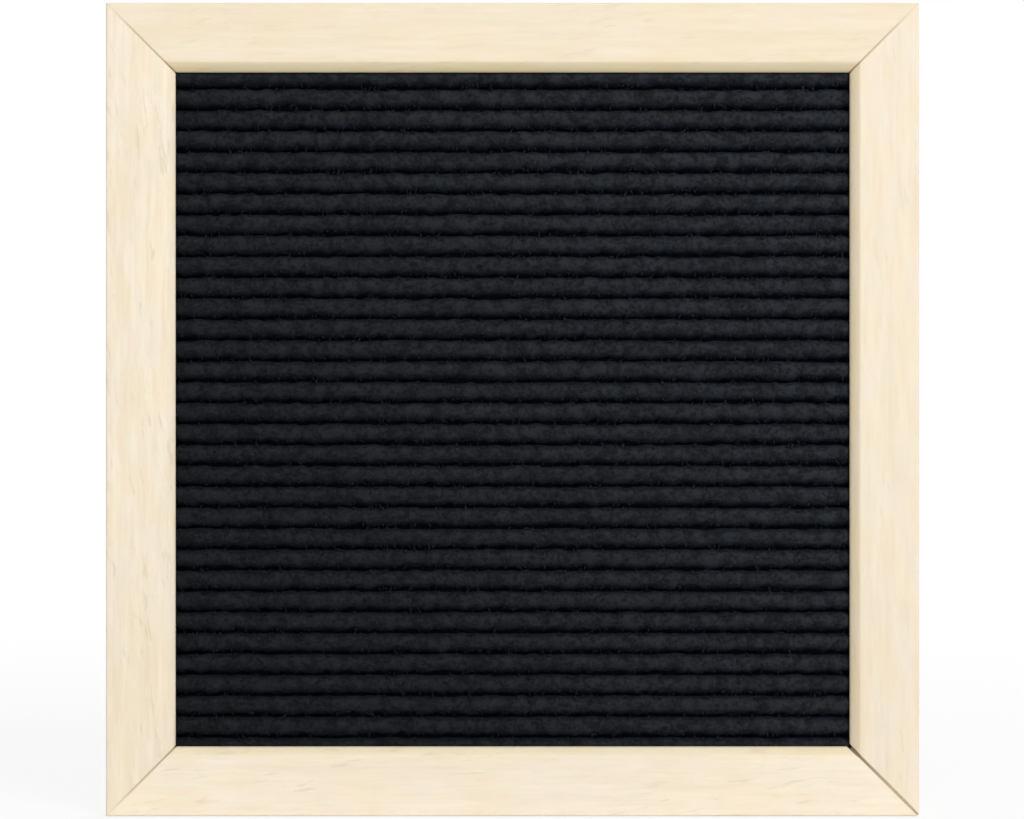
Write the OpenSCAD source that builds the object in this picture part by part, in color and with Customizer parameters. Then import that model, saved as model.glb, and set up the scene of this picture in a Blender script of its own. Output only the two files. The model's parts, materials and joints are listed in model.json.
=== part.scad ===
// Square letter board: a grooved felt panel in a mitred oak frame, in millimetres.
// It stands on its bottom rail, +Z is up and the front faces -Y.
// Left and right are as seen from the front.

/* [Frame] */
// Width of the whole frame
board_w = 254; // [180:1:420]
// Height of the whole frame
board_h = 254; // [180:1:420]
// Width of a rail, seen from the front
rail_w = 21.5; // [18:0.5:30]
// Thickness of the lip in front of the felt
lip_t = 3.5; // [3:0.5:8]
// Width of the rebate behind the lip, where the panel sits
rebate_w = 7; // [5:0.5:9]
// Thickness of the glue line in each mitre
glue_gap = 0.15; // [0.05:0.05:0.4]
// Radius of the outer edges at the front
front_round = 1.2; // [0.4:0.1:3]
// Radius of the front edge round the opening
sight_round = 2.6; // [0.5:0.1:2.8]
// Radius of the outer edges at the back
back_round = 0.8; // [0.2:0.1:2]

/* [Felt panel] */
// Clearance round the panel in its rebate
panel_clear = 0.3; // [0.1:0.05:1]
// Thickness of the felt
felt_t = 0.9; // [0.5:0.1:1.4]
// Air between the felt and what it lies on
felt_gap = 0.05; // [0.02:0.01:0.2]
// Distance from one letter groove to the next
groove_pitch = 6.56; // [5:0.01:9]
// Distance from the top of the opening to the first groove
first_groove = 4.7; // [2:0.1:9]
// Width of a letter groove between its felt sides
groove_w = 1.2; // [0.4:0.1:1.8]
// Thickness of the strips that the felt is folded round
strip_t = 5; // [3:0.25:8]
// Radius of the strips' front edges
strip_round = 0.4; // [0.2:0.1:1]
// Narrowest strip that is used at the top or bottom of the panel
end_strip_min = 2; // [1.6:0.1:4]
// Thickness of the backing board
backing_t = 4; // [2:0.25:6]

/* [Corner nails] */
// Length of each leg of a V nail
v_leg = 4; // [2.5:0.25:5]
// Thickness of the V nail's steel
v_t = 0.5; // [0.3:0.05:1]
// Depth that a V nail is driven
v_depth = 7; // [4:0.5:10]
// Distance from the frame's outer faces to the bend of the outer nail
v_outer = 3.5; // [2:0.25:5]
// Wood left between the inner nail's legs and the rebate
v_inner = 1.2; // [0.6:0.1:2.5]
// Clearance round nails and screws in the wood
fit_gap = 0.05; // [0.02:0.01:0.1]

/* [Sawtooth hanger] */
// Length of the hanger
hanger_w = 45; // [38:1:70]
// Height of the hanger
hanger_h = 10; // [8:0.5:11]
// Thickness of the hanger's steel
hanger_t = 0.8; // [0.5:0.1:1.5]
// Height of the hanger's middle above the wood
hanger_rise = 2.2; // [1.5:0.1:4]
// Length of each flat end with its nail
hanger_tab = 9; // [7:0.5:12]
// Length of the bend between an end and the middle
hanger_ramp = 3; // [2:0.5:5]
// Radius of the hanger's corners
hanger_round = 1.5; // [0.5:0.1:3]
// Width of one tooth
tooth_w = 3; // [2:0.25:5]
// Depth of one tooth
tooth_d = 1.8; // [1:0.1:3]
// Diameter of the hanger's nails
brad_d = 1.3; // [0.8:0.1:2]
// Length of the hanger's nails under the head
brad_l = 9; // [5:0.5:11]
// Diameter of a nail's head
brad_head_d = 3; // [2.4:0.1:4]
// Thickness of a nail's head
brad_head_t = 0.6; // [0.4:0.1:1]
// Length of the point of a nail or screw
point_l = 2; // [1:0.25:3]

/* [Turn buttons] */
// Distance from the frame's top or bottom to a turn button's screw
button_end = 65; // [40:1:85]
// Thickness of a turn button
button_t = 0.8; // [0.5:0.1:1.5]
// Radius of a turn button's head, round its screw
button_r = 5; // [4.2:0.1:6]
// Half the width of a turn button's tongue, and the radius of its tip
button_tip_r = 3; // [2:0.1:4]
// Overlap of a turn button on the backing board
button_grip = 8; // [5:0.5:12]
// Air under a turn button, so that it turns freely
button_gap = 0.2; // [0.1:0.05:0.3]
// Height of the bent lip that a fingernail catches
nail_lip_h = 1.2; // [0.5:0.1:1.5]
// Length of the bent lip
nail_lip_l = 3.4; // [2:0.1:3.6]
// Diameter of the turn buttons' screws
screw_d = 3; // [2:0.1:3.6]
// Length of a screw under its head
screw_l = 10; // [7:0.5:12]
// Running clearance between a screw and its turn button, on the radius
screw_play = 0.1; // [0.05:0.01:0.2]
// Air between a turn button and its screw's head
head_gap = 0.1; // [0.05:0.01:0.2]
// Diameter of a screw's head
head_d = 5.6; // [4.6:0.1:7]
// Height of a screw's head
head_h = 1.6; // [1:0.1:1.8]
// Height of the straight side of a screw's head
head_side = 0.9; // [0.4:0.1:0.9]
// Width of the slots in a screw's cross recess
recess_w = 0.7; // [0.4:0.1:1]
// Length of the slots in a screw's cross recess
recess_l = 3.2; // [2:0.1:4]
// Depth of a screw's cross recess
recess_d = 0.9; // [0.5:0.1:1]

/* [Bumpers] */
// Diameter of a bumper
bumper_d = 8; // [6:0.5:10]
// Thickness of a bumper
bumper_t = 3.2; // [1:0.1:6]
// Radius of a bumper's outer edge
bumper_round = 1; // [0.3:0.1:1]
// Distance from the frame's side to a bumper's centre
bumper_in = 24; // [20:1:60]

/* [Hidden] */
$fn = 48;
// How far a cutting shape runs past the face that it cuts
over = 1;

// The rails' flat back, beside the rebate
land = rail_w - rebate_w;
panel_w = board_w - 2 * (land + panel_clear);

// Depths are counted backwards from the front face of the frame
felt_y = lip_t + felt_gap;
strip_y = felt_y + felt_t + felt_gap;
backing_y = strip_y + strip_t;
rail_d = backing_y + backing_t;

// The felt folds over at the bottom of each groove, with its outside just off the backing
fold_r = groove_w / 2 + felt_t;
fold_y = backing_y - felt_gap - fold_r;
felt_side = felt_t + felt_gap;

// Grooves are counted from the top, and the end ones leave a strip of useful width
panel_top = board_h - land - panel_clear;
panel_bottom = land + panel_clear;
first_z = board_h - rail_w - first_groove;
end_rib = end_strip_min + 2 * felt_side + groove_w / 2;
grooves_above = floor((panel_top - end_rib - first_z) / groove_pitch);
grooves_below = floor((first_z - panel_bottom - end_rib) / groove_pitch);
rib_count = grooves_above + grooves_below + 2;
function groove_z(i) = first_z + (grooves_above - i) * groove_pitch;
function rib_high(i) = i == 1 ? panel_top : groove_z(i - 2) - groove_w / 2;
function rib_low(i) = i == rib_count ? panel_bottom : groove_z(i - 1) + groove_w / 2;
function rib_name(i) = str("rib_strip_", i < 10 ? "0" : "", i);

// The hanger's middle starts where its bends end
hanger_knee = hanger_w / 2 - hanger_tab;
hanger_crown = hanger_knee - hanger_ramp;
hanger_z = board_h - land / 2;
tooth_count = floor(2 * hanger_crown / tooth_w);
brad_x = hanger_w / 2 - hanger_tab / 2;

// A turn button reaches from the middle of the land to its grip on the backing
button_x = board_w / 2 - land / 2;
button_reach = land / 2 + panel_clear + button_grip - button_tip_r;
button_y = rail_d + button_gap;
head_y = button_y + button_t + head_gap;

// The frame's front lies half the whole depth in front of the origin
proud = max(bumper_t, hanger_rise + hanger_t, head_y + head_h - rail_d);
front_y = -(rail_d + proud) / 2;

oak = [0.96, 0.91, 0.81];
felt_black = [0.12, 0.13, 0.14];
greyboard = [0.62, 0.60, 0.56];
fibreboard = [0.56, 0.43, 0.31];
zinc = [0.74, 0.75, 0.77];
bright_steel = [0.82, 0.83, 0.85];
clear_rubber = [0.80, 0.82, 0.83];

// Puts depths counted from the front face into the board's own frame
module in_place() {
    translate([0, front_y, 0]) children();
}

// Extrudes a section, drawn as height and depth, along X
module along_x(length) {
    rotate([0, -90, 0]) linear_extrude(length, center = true) children();
}

// Extrudes an outline, drawn as X and Z, from one depth to another
module along_y(from, to) {
    translate([0, to, 0]) rotate([90, 0, 0]) linear_extrude(to - from) children();
}

// Stands a round shape, made along +Z, so that it points backwards from a place on the board
module pointing_back(x, y, z) {
    translate([x, y, z]) rotate([-90, 0, 0]) children();
}

// What a rounding of radius r takes off a square corner at the origin
module corner_waste(r) {
    difference() {
        translate([-over, -over]) square(r + over);
        translate([r, r]) circle(r);
    }
}

// Draws its children at the four outer corners, with +X and +Z pointing into the frame
module at_corners() {
    for (right = [0, 1], top = [0, 1])
        translate([(right - 0.5) * board_w, 0, top * board_h])
            mirror([right, 0, 0])
                mirror([0, 0, top])
                    children();
}

// Draws its children at the four turn buttons' screws, with +X pointing into the frame
module at_buttons() {
    for (right = [0, 1], top = [0, 1])
        at_button(right, top) children();
}

module at_button(right, top) {
    translate([(2 * right - 1) * button_x, 0, top ? board_h - button_end : button_end])
        mirror([right, 0, 0])
            children();
}

// Across a rail: width from its outer face, then depth from its front
module rail_profile() {
    difference() {
        polygon([
            [0, 0], [rail_w, 0], [rail_w, lip_t],
            [land, lip_t], [land, rail_d], [0, rail_d]
        ]);
        corner_waste(front_round);
        translate([rail_w, 0]) mirror([1, 0]) corner_waste(sight_round);
        translate([0, rail_d]) mirror([0, 1]) corner_waste(back_round);
    }
}

// A mitred rail lying along X, its outer face down at height 0
module rail(length) {
    mitre = length / 2 - glue_gap / sqrt(2);
    intersection() {
        along_x(length + 2 * over) rail_profile();
        along_y(-over, rail_d + over) polygon([
            [-mitre - over, -over], [mitre + over, -over],
            [mitre - rail_w - over, rail_w + over], [-mitre + rail_w + over, rail_w + over]
        ]);
    }
}

// What nails and screws take out of the frame
module frame_holes() {
    corner_nail_pair(fit_gap);
    at_buttons() pointing_back(0, head_y, 0) screw_shank(fit_gap);
    hanger_brads(fit_gap);
}

module top_rail() {
    color(oak) in_place() difference() {
        translate([0, 0, board_h]) mirror([0, 0, 1]) rail(board_w);
        frame_holes();
    }
}

module bottom_rail() {
    color(oak) in_place() difference() {
        rail(board_w);
        frame_holes();
    }
}

module left_rail() {
    color(oak) in_place() difference() {
        translate([-board_w / 2, 0, board_h / 2]) rotate([0, 90, 0]) rail(board_h);
        frame_holes();
    }
}

module right_rail() {
    color(oak) in_place() difference() {
        translate([board_w / 2, 0, board_h / 2]) rotate([0, -90, 0]) rail(board_h);
        frame_holes();
    }
}

// One V nail with its bend on the mitre, driven in from the back
module v_nail(bend, grow) {
    side = v_t / 2 + grow;
    tip = v_leg + grow;
    translate([bend, 0, bend])
        along_y(rail_d - v_depth - grow, rail_d + (grow > 0 ? over : 0))
            polygon([
                [-side, -side], [tip, -side], [tip, side],
                [side, side], [side, tip], [-side, tip]
            ]);
}

// Both V nails of all four corners
module corner_nail_pair(grow) {
    at_corners() {
        v_nail(v_outer, grow);
        v_nail(land - v_inner - v_leg, grow);
    }
}

module corner_v_nails() {
    color(bright_steel) in_place() corner_nail_pair(0);
}

// Across a rib: a bar with rounded front edges, drawn as height and depth
module rib_section(low, high, front, rear, r) {
    translate([low, front]) difference() {
        square([high - low, rear - front]);
        corner_waste(r);
        translate([high - low, 0]) mirror([1, 0]) corner_waste(r);
    }
}

// One sheet of felt that goes over each strip and down into each groove
module felt_section() {
    difference() {
        union() {
            for (i = [1:rib_count])
                rib_section(rib_low(i), rib_high(i), felt_y, fold_y, strip_round + felt_side);
            for (i = [0:rib_count - 2])
                translate([groove_z(i), fold_y]) circle(fold_r);
        }
        for (i = [1:rib_count])
            rib_section(
                rib_low(i) + felt_t, rib_high(i) - felt_t,
                felt_y + felt_t, backing_y, strip_round + felt_gap
            );
        for (i = [0:rib_count - 2])
            translate([groove_z(i), fold_y]) {
                circle(groove_w / 2);
                translate([-groove_w / 2, -fold_r - over]) square([groove_w, fold_r + over]);
            }
    }
}

module felt_facing() {
    color(felt_black) in_place() along_x(panel_w) felt_section();
}

// The strip under rib i, counted from the top
module rib_strip(i) {
    color(greyboard) in_place() along_x(panel_w)
        rib_section(
            rib_low(i) + felt_side, rib_high(i) - felt_side,
            strip_y, backing_y, strip_round
        );
}

module backing_board() {
    color(fibreboard) in_place()
        translate([-panel_w / 2, backing_y, panel_bottom])
            cube([panel_w, backing_t, panel_top - panel_bottom]);
}

// The hanger seen from above: flat ends, two bends and a raised middle, drawn as X and depth
module hanger_bend() {
    slant = hanger_t * tan(atan(hanger_rise / hanger_ramp) / 2);
    half = [
        [hanger_crown, hanger_rise], [hanger_knee, 0], [hanger_w / 2, 0],
        [hanger_w / 2, hanger_t], [hanger_knee + slant, hanger_t],
        [hanger_crown + slant, hanger_rise + hanger_t]
    ];
    last = len(half) - 1;
    polygon(concat(half, [for (i = [last:-1:0]) [-half[i][0], half[i][1]]]));
}

// The hanger seen from behind, with teeth along its lower edge, drawn as X and Z
module hanger_outline() {
    row = tooth_count * tooth_w / 2;
    foot = -hanger_h / 2;
    difference() {
        square([hanger_w, hanger_h], center = true);
        for (x = [0, 1], z = [0, 1])
            mirror([x, 0]) mirror([0, z])
                translate([-hanger_w / 2, -hanger_h / 2]) corner_waste(hanger_round);
        polygon(concat(
            [[-row, foot - over]],
            [for (k = [0:2 * tooth_count]) [-row + k * tooth_w / 2, foot + (k % 2) * tooth_d]],
            [[row, foot - over]]
        ));
    }
}

module sawtooth_hanger() {
    color(zinc) in_place() translate([0, rail_d, hanger_z]) difference() {
        intersection() {
            linear_extrude(hanger_h + 2 * over, center = true) hanger_bend();
            along_y(-over, hanger_rise + hanger_t + over) hanger_outline();
        }
        for (side = [-1, 1])
            pointing_back(side * brad_x, -over, 0)
                cylinder(h = hanger_t + 2 * over, d = brad_d + 2 * fit_gap);
    }
}

// The hanger's two nails, made a little thicker where they are the holes in the wood
module hanger_brads(grow) {
    for (side = [-1, 1])
        pointing_back(side * brad_x, rail_d + hanger_t, hanger_z)
            shank(brad_d / 2 + grow, brad_l + grow);
}

module hanger_nails() {
    color(bright_steel) in_place() {
        hanger_brads(0);
        for (side = [-1, 1])
            pointing_back(side * brad_x, rail_d + hanger_t, hanger_z)
                cylinder(h = brad_head_t, d = brad_head_d);
    }
}

// A nail's or screw's shank, from its point forward of the origin back to a head at the origin
module shank(r, length) {
    translate([0, 0, -length]) {
        cylinder(h = point_l, r1 = r / 4, r2 = r);
        translate([0, 0, point_l]) cylinder(h = length - point_l, r = r);
    }
}

module screw_shank(grow) {
    shank(screw_d / 2 + grow, screw_l + grow);
}

// A pan head screw with a cross recess, its head standing on the origin
module pan_screw() {
    dome_h = head_h - head_side;
    dome_r = (head_d * head_d / 4 + dome_h * dome_h) / (2 * dome_h);
    screw_shank(0);
    difference() {
        intersection() {
            cylinder(h = head_h, d = head_d);
            translate([0, 0, head_h - dome_r]) sphere(dome_r, $fn = 128);
        }
        for (turn = [0, 90])
            rotate([0, 0, turn])
                translate([-recess_l / 2, -recess_w / 2, head_h - recess_d])
                    cube([recess_l, recess_w, recess_d + over]);
    }
}

module turn_button_screws() {
    color(bright_steel) in_place() at_buttons() pointing_back(0, head_y, 0) pan_screw();
}

// A turn button seen from behind: a round head on its screw and a tongue with a round tip
module button_outline() {
    difference() {
        union() {
            circle(button_r);
            translate([0, -button_tip_r]) square([button_reach, 2 * button_tip_r]);
            translate([button_reach, 0]) circle(button_tip_r);
        }
        circle(screw_d / 2 + screw_play);
    }
}

// A turn button on its screw's axis, its tip pointing into the frame
module turn_button(right, top) {
    color(zinc) in_place() at_button(right, top) {
        along_y(button_y, button_y + button_t) button_outline();
        translate([button_reach + button_tip_r - 2 * button_t, button_y, -nail_lip_l / 2])
            cube([button_t, button_t + nail_lip_h, nail_lip_l]);
    }
}

module turn_button_top_left() {
    turn_button(0, 1);
}

module turn_button_top_right() {
    turn_button(1, 1);
}

module turn_button_bottom_left() {
    turn_button(0, 0);
}

module turn_button_bottom_right() {
    turn_button(1, 0);
}

// A round rubber pad on the back of the bottom rail
module bumper(side) {
    color(clear_rubber) in_place()
        pointing_back(side * (board_w / 2 - bumper_in), rail_d, land / 2)
            rotate_extrude() difference() {
                square([bumper_d / 2, bumper_t]);
                translate([bumper_d / 2, bumper_t])
                    mirror([1, 0]) mirror([0, 1]) corner_waste(bumper_round);
            }
}

module bumper_left() {
    bumper(-1);
}

module bumper_right() {
    bumper(1);
}

top_rail();
bottom_rail();
left_rail();
right_rail();
corner_v_nails();
felt_facing();
for (i = [1:rib_count]) rib_strip(i);
backing_board();
sawtooth_hanger();
hanger_nails();
turn_button_top_left();
turn_button_top_right();
turn_button_bottom_left();
turn_button_bottom_right();
turn_button_screws();
bumper_left();
bumper_right();
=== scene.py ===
# %% [markdown]
# # A felt letter board
# This is a small square board for a desk, a shop counter or a hallway. A pale oak frame holds
# a panel of black felt, and the felt is folded down into a row of narrow grooves. Loose letters
# have small tabs that push into those grooves, so the grooves are what the object is for.
# The lesson starts from a set of measured solids and gives each of them its real surface.

# %% Load the measured solids
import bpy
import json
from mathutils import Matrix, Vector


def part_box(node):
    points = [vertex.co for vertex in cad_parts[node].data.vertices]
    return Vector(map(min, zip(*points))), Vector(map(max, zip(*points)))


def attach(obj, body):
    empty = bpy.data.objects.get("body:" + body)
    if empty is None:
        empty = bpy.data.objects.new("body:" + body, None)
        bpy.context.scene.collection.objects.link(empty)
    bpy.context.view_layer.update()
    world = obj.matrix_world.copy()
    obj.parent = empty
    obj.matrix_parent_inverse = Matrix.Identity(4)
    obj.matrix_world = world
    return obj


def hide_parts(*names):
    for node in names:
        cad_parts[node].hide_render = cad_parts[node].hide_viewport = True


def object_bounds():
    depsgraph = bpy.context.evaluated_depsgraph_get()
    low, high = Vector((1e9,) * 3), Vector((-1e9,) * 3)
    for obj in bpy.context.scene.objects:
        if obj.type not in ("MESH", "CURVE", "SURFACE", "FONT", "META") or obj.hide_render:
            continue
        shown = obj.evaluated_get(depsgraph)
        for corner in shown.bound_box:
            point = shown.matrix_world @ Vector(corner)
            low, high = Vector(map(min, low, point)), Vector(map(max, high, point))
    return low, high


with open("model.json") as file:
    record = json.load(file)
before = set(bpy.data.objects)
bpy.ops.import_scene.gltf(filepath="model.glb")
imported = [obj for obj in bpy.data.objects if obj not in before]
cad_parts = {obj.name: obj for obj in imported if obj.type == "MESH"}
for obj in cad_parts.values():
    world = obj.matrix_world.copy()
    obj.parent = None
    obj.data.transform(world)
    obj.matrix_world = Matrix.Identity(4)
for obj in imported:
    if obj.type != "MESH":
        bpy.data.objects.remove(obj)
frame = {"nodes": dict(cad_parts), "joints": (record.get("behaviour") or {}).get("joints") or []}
cad_low, cad_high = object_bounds()
print("pieces measured in advance:", len(frame["nodes"]))
print("whole board in millimetres:", [round(1000 * side, 1) for side in cad_high - cad_low])

# %% [markdown]
# ## Units
# Blender works in metres. The sizes of a picture frame read better in millimetres, so each one
# is written in millimetres and multiplied by MM. The width of the board and of a rail come from
# the measured solids, and almost every step below needs them.

# %% Set the units and read the main sizes
import json
import math
import random

import bmesh
import bpy
from mathutils import Matrix, Vector, noise

MM = 0.001
board_w = cad_high.x - cad_low.x
rail_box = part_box("bottom_rail")
rail_w = rail_box[1].z - rail_box[0].z
print("board and rail in millimetres:", round(board_w / MM, 1), round(rail_w / MM, 1))

# %% [markdown]
# ## The camera
# The board was photographed straight from the front, at the height of its middle, so that its
# corners stay square. A long lens about 90 cm away keeps the rails' inner walls narrow. The lens
# length below makes the 254 mm frame fill the picture as it does in the photograph.
# In Blender an object is only a place in the scene. The camera, lamp or mesh that stands there
# is data that the object carries, so one small helper joins the two.

# %% Set up the camera
camera_distance = 0.9
camera_shift = -0.2 * MM
lens_mm = 101.4
sensor_mm = 36.0
middle_z = (cad_low.z + cad_high.z) / 2


def add_object(name, data):
    """A new object that carries this mesh, lamp or camera, put into the scene."""
    made = bpy.data.objects.new(name, data)
    bpy.context.scene.collection.objects.link(made)
    return made


camera_data = bpy.data.cameras.new("camera")
camera_data.lens = lens_mm
camera_data.sensor_width = sensor_mm
camera_data.clip_start = 0.01
camera = add_object("camera", camera_data)
camera.location = (camera_shift, cad_low.y - camera_distance, middle_z)
camera.rotation_euler = (math.radians(90), 0, 0)
bpy.context.scene.camera = camera
print("camera stands at", [round(c, 3) for c in camera.location])

# %% [markdown]
# ## Light from all round
# The photograph has the plain light of a product studio: bright all round, a little stronger
# from the upper right. A pale world gives the even part. It shows white to the camera, to glossy
# rays and through clear rubber, while the light that it sheds stays at a plain level.
# A world, like a material, is a small network of nodes. Adding a node, setting it and wiring it
# up takes several lines, so one helper does all three. For each input it takes a number, a
# colour or the output of another node.

# %% Light the world
world_light = 0.475
white = (1, 1, 1, 1)


def put(tree, kind, inputs=None, **settings):
    """Add a node, set its properties, then fill or wire its inputs."""
    node = tree.nodes.new("ShaderNode" + kind)
    for setting, value in settings.items():
        setattr(node, setting, value)
    for socket, value in (inputs or {}).items():
        if isinstance(value, bpy.types.NodeSocket):
            tree.links.new(value, node.inputs[socket])
        else:
            node.inputs[socket].default_value = value
    return node


def sums(tree, operation, *values, clamp=False):
    """One step of arithmetic on numbers."""
    node = put(tree, "Math", dict(enumerate(values)), operation=operation, use_clamp=clamp)
    return node.outputs[0]


def seen_directly(tree):
    """1 for the camera, glossy and transmission rays that show the background, 0 for the rest."""
    path = put(tree, "LightPath").outputs
    either = sums(tree, "MAXIMUM", path["Is Camera Ray"], path["Is Glossy Ray"])
    return sums(tree, "MAXIMUM", either, path["Is Transmission Ray"])


world = bpy.data.worlds.new("studio")
bpy.context.scene.world = world
world.use_nodes = True
sky = world.node_tree
sky.nodes.clear()
shed = put(sky, "Background", {"Color": white, "Strength": world_light})
shown = put(sky, "Background", {"Color": white, "Strength": 1.0})
choice = put(sky, "MixShader", {0: seen_directly(sky), 1: shed.outputs[0], 2: shown.outputs[0]})
put(sky, "OutputWorld", {"Surface": choice.outputs[0]})
bpy.context.scene.view_settings.view_transform = "Standard"
print("the world sheds", world_light, "and shows 1.0")

# %% [markdown]
# ## Three lamps
# One large soft lamp at the upper right gives the light its direction, and a weaker one on the
# left keeps the shaded edges open. A third lamp behind the board lights its back, for anyone who
# walks round it. An area lamp is a glowing square, and the larger it is, the softer its shadows.

# %% Hang the lamps


def soft_lamp(name, place_at, size, watts):
    """A square area lamp that points at the middle of the board."""
    data = bpy.data.lights.new(name, "AREA")
    data.size = size
    data.energy = watts
    lamp = add_object(name, data)
    lamp.location = place_at
    aim = Vector((0, 0, middle_z)) - lamp.location
    lamp.rotation_euler = aim.to_track_quat("-Z", "Y").to_euler()


soft_lamp("key_lamp", (1.75, -2.75, 2.2), 1.5, 76.0)
soft_lamp("fill_lamp", (-1.2, -2.0, 0.2), 1.4, 9.0)
soft_lamp("back_lamp", (0.9, 2.2, 1.3), 1.4, 30.0)

# %% [markdown]
# ## The floor
# The board stands on a plain pale floor. The floor is a single large sheet.
# A mesh is a list of points and a list of faces that join them. Most shapes in this lesson are
# worked out as such lists, and one helper turns them into an object.

# %% Lay the floor
floor_half = 6.0


def mesh_piece(name, points, faces):
    """A new object made of these points and faces, with its faces turned outwards."""
    mesh = bpy.data.meshes.new(name)
    mesh.from_pydata([tuple(p) for p in points], [], faces)
    work = bmesh.new()
    work.from_mesh(mesh)
    bmesh.ops.recalc_face_normals(work, faces=work.faces)
    work.to_mesh(mesh)
    work.free()
    return add_object(name, mesh)


floor_corners = [(-floor_half, -floor_half), (floor_half, -floor_half)]
floor_corners += [(floor_half, floor_half), (-floor_half, floor_half)]
floor = mesh_piece("floor", [(x, y, 0) for x, y in floor_corners], [(0, 1, 2, 3)])
print("floor:", 2 * floor_half, "m wide")

# %% [markdown]
# ## Patterns
# A procedural material starts from coordinates. Noise turns them into shades, a fade picks a
# range of shades, and a mix turns shades into colour. Every pattern on this board is a chain of
# these few steps, so each step gets a helper that adds one node and returns its output.

# %% Write down the steps of a pattern


def vector_sums(tree, operation, *values):
    """One step of arithmetic on coordinates. Lengths and products come out as numbers."""
    node = put(tree, "VectorMath", dict(enumerate(values)), operation=operation)
    number = operation in ("LENGTH", "DISTANCE", "DOT_PRODUCT")
    return node.outputs["Value" if number else "Vector"]


def scaled(tree, vector, factor):
    """Coordinates, or the three parts of a colour, times one number."""
    return put(tree, "VectorMath", {0: vector, "Scale": factor}, operation="SCALE").outputs[0]


def rough_noise(tree, vector, detail=3.0, roughness=0.55):
    """Soft random shades from 0 to 1, one patch to each unit of the coordinates."""
    inputs = {"Vector": vector, "Scale": 1.0, "Detail": detail, "Roughness": roughness}
    return put(tree, "TexNoise", inputs).outputs["Fac"]


def fade(tree, value, start, stop, low=0.0, high=1.0):
    """Turn a range of one value smoothly into a range of another."""
    inputs = {0: value, 1: start, 2: stop, 3: low, 4: high}
    return put(tree, "MapRange", inputs, interpolation_type="SMOOTHSTEP").outputs[0]


def mix_colour(tree, factor, first, second, blend="MIX"):
    """Blend two colours by a factor. Each is three numbers or the output of a node."""
    pair = [c if isinstance(c, bpy.types.NodeSocket) else (*c, 1) for c in (first, second)]
    inputs = {0: factor, 6: pair[0], 7: pair[1]}
    return put(tree, "Mix", inputs, data_type="RGBA", blend_type=blend).outputs[2]


pattern_steps = (sums, vector_sums, scaled, rough_noise, fade, mix_colour)
print("steps of a pattern:", [step.__name__ for step in pattern_steps])

# %% [markdown]
# ## The floor's paint
# The coordinates are always the piece's own, in millimetres, so that a pattern keeps its real
# size and stays on the piece when it moves. A new material brings them along.
# Seen directly the floor is nearly white. Close to the board a share of its real shading is
# kept, and that share is where the board's soft shadow shows. Further away the share fades out,
# so that the floor runs into the white background.

# %% Paint the floor
shading_near = 250
shading_far = 900
white_by_the_board = 0.84


def feed(tree, sockets, **values):
    """Wire outputs into the named inputs of a node. Base_Color stands for Base Color."""
    for socket, value in values.items():
        tree.links.new(value, sockets[socket.replace("_", " ")])


def new_material(name, **settings):
    """A material with a Principled shader, and the piece's own coordinates in millimetres."""
    material = bpy.data.materials.new(name)
    material.use_nodes = True
    tree = material.node_tree
    shader = tree.nodes["Principled BSDF"]
    for socket, value in settings.items():
        shader.inputs[socket.replace("_", " ")].default_value = value
    return material, tree, shader, scaled(tree, put(tree, "TexCoord").outputs["Object"], 1 / MM)


floor_paint, tree, shader, mm = new_material("pale_floor", Roughness=0.9)
paint = mix_colour(tree, rough_noise(tree, mm), (0.8, 0.8, 0.8), (0.84, 0.84, 0.84))
feed(tree, shader.inputs, Base_Color=paint)
glow = put(tree, "Emission", {"Color": white, "Strength": 1.0})
from_board = vector_sums(tree, "LENGTH", mm)
white_share = fade(tree, from_board, shading_near, shading_far, white_by_the_board, 1.0)
share = sums(tree, "MULTIPLY", seen_directly(tree), white_share)
blend = put(tree, "MixShader", {0: share, 1: shader.outputs[0], 2: glow.outputs[0]})
feed(tree, tree.nodes["Material Output"].inputs, Surface=blend.outputs[0])
floor.data.materials.append(floor_paint)
print("floor paint:", len(tree.nodes), "nodes")

# %% [markdown]
# ## Shared effects
# An effect that several materials share becomes a node group, which is a node with its own named
# inputs and outputs. Here a group gives out masks and values only, and each material decides on
# its own colours. Most effects lie in some direction, so the coordinates are turned and
# stretched before the noise reads them.

# %% Make a way to start a group


def turned(tree, vector, angles):
    """Coordinates turned by an angle in degrees about each axis."""
    radians = tuple(math.radians(a) for a in angles)
    return put(tree, "Mapping", {"Vector": vector, "Rotation": radians}).outputs[0]


def stretch(tree, vector, scale):
    """Coordinates squeezed or stretched along each axis."""
    return put(tree, "Mapping", {"Vector": vector, "Scale": scale}).outputs[0]


def new_group(name, inputs, outputs):
    """A node group with named sockets. Inputs come with their starting values."""
    tree = bpy.data.node_groups.new(name, "ShaderNodeTree")
    for socket, start in inputs.items():
        kind = "NodeSocketVector" if start is None else "NodeSocketFloat"
        made = tree.interface.new_socket(socket, in_out="INPUT", socket_type=kind)
        if start is not None:
            made.default_value = start
    for socket in outputs:
        tree.interface.new_socket(socket, in_out="OUTPUT", socket_type="NodeSocketFloat")
    given = tree.nodes.new("NodeGroupInput").outputs
    return tree, given, tree.nodes.new("NodeGroupOutput").inputs


print("groups so far:", len(bpy.data.node_groups))

# %% [markdown]
# ## Grain for the oak
# Oak shows its growth in several sizes at once: broad bands of a slightly different cream, fine
# streaks from the long vessels, short dark dashes where a vessel surfaces, and tiny open pores.
# All of them run along the rail. Noise that is stretched along one axis gives each of them.
# Every rail uses the grain with its own seed and amounts, so it is a group.

# %% Build the grain group


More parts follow.
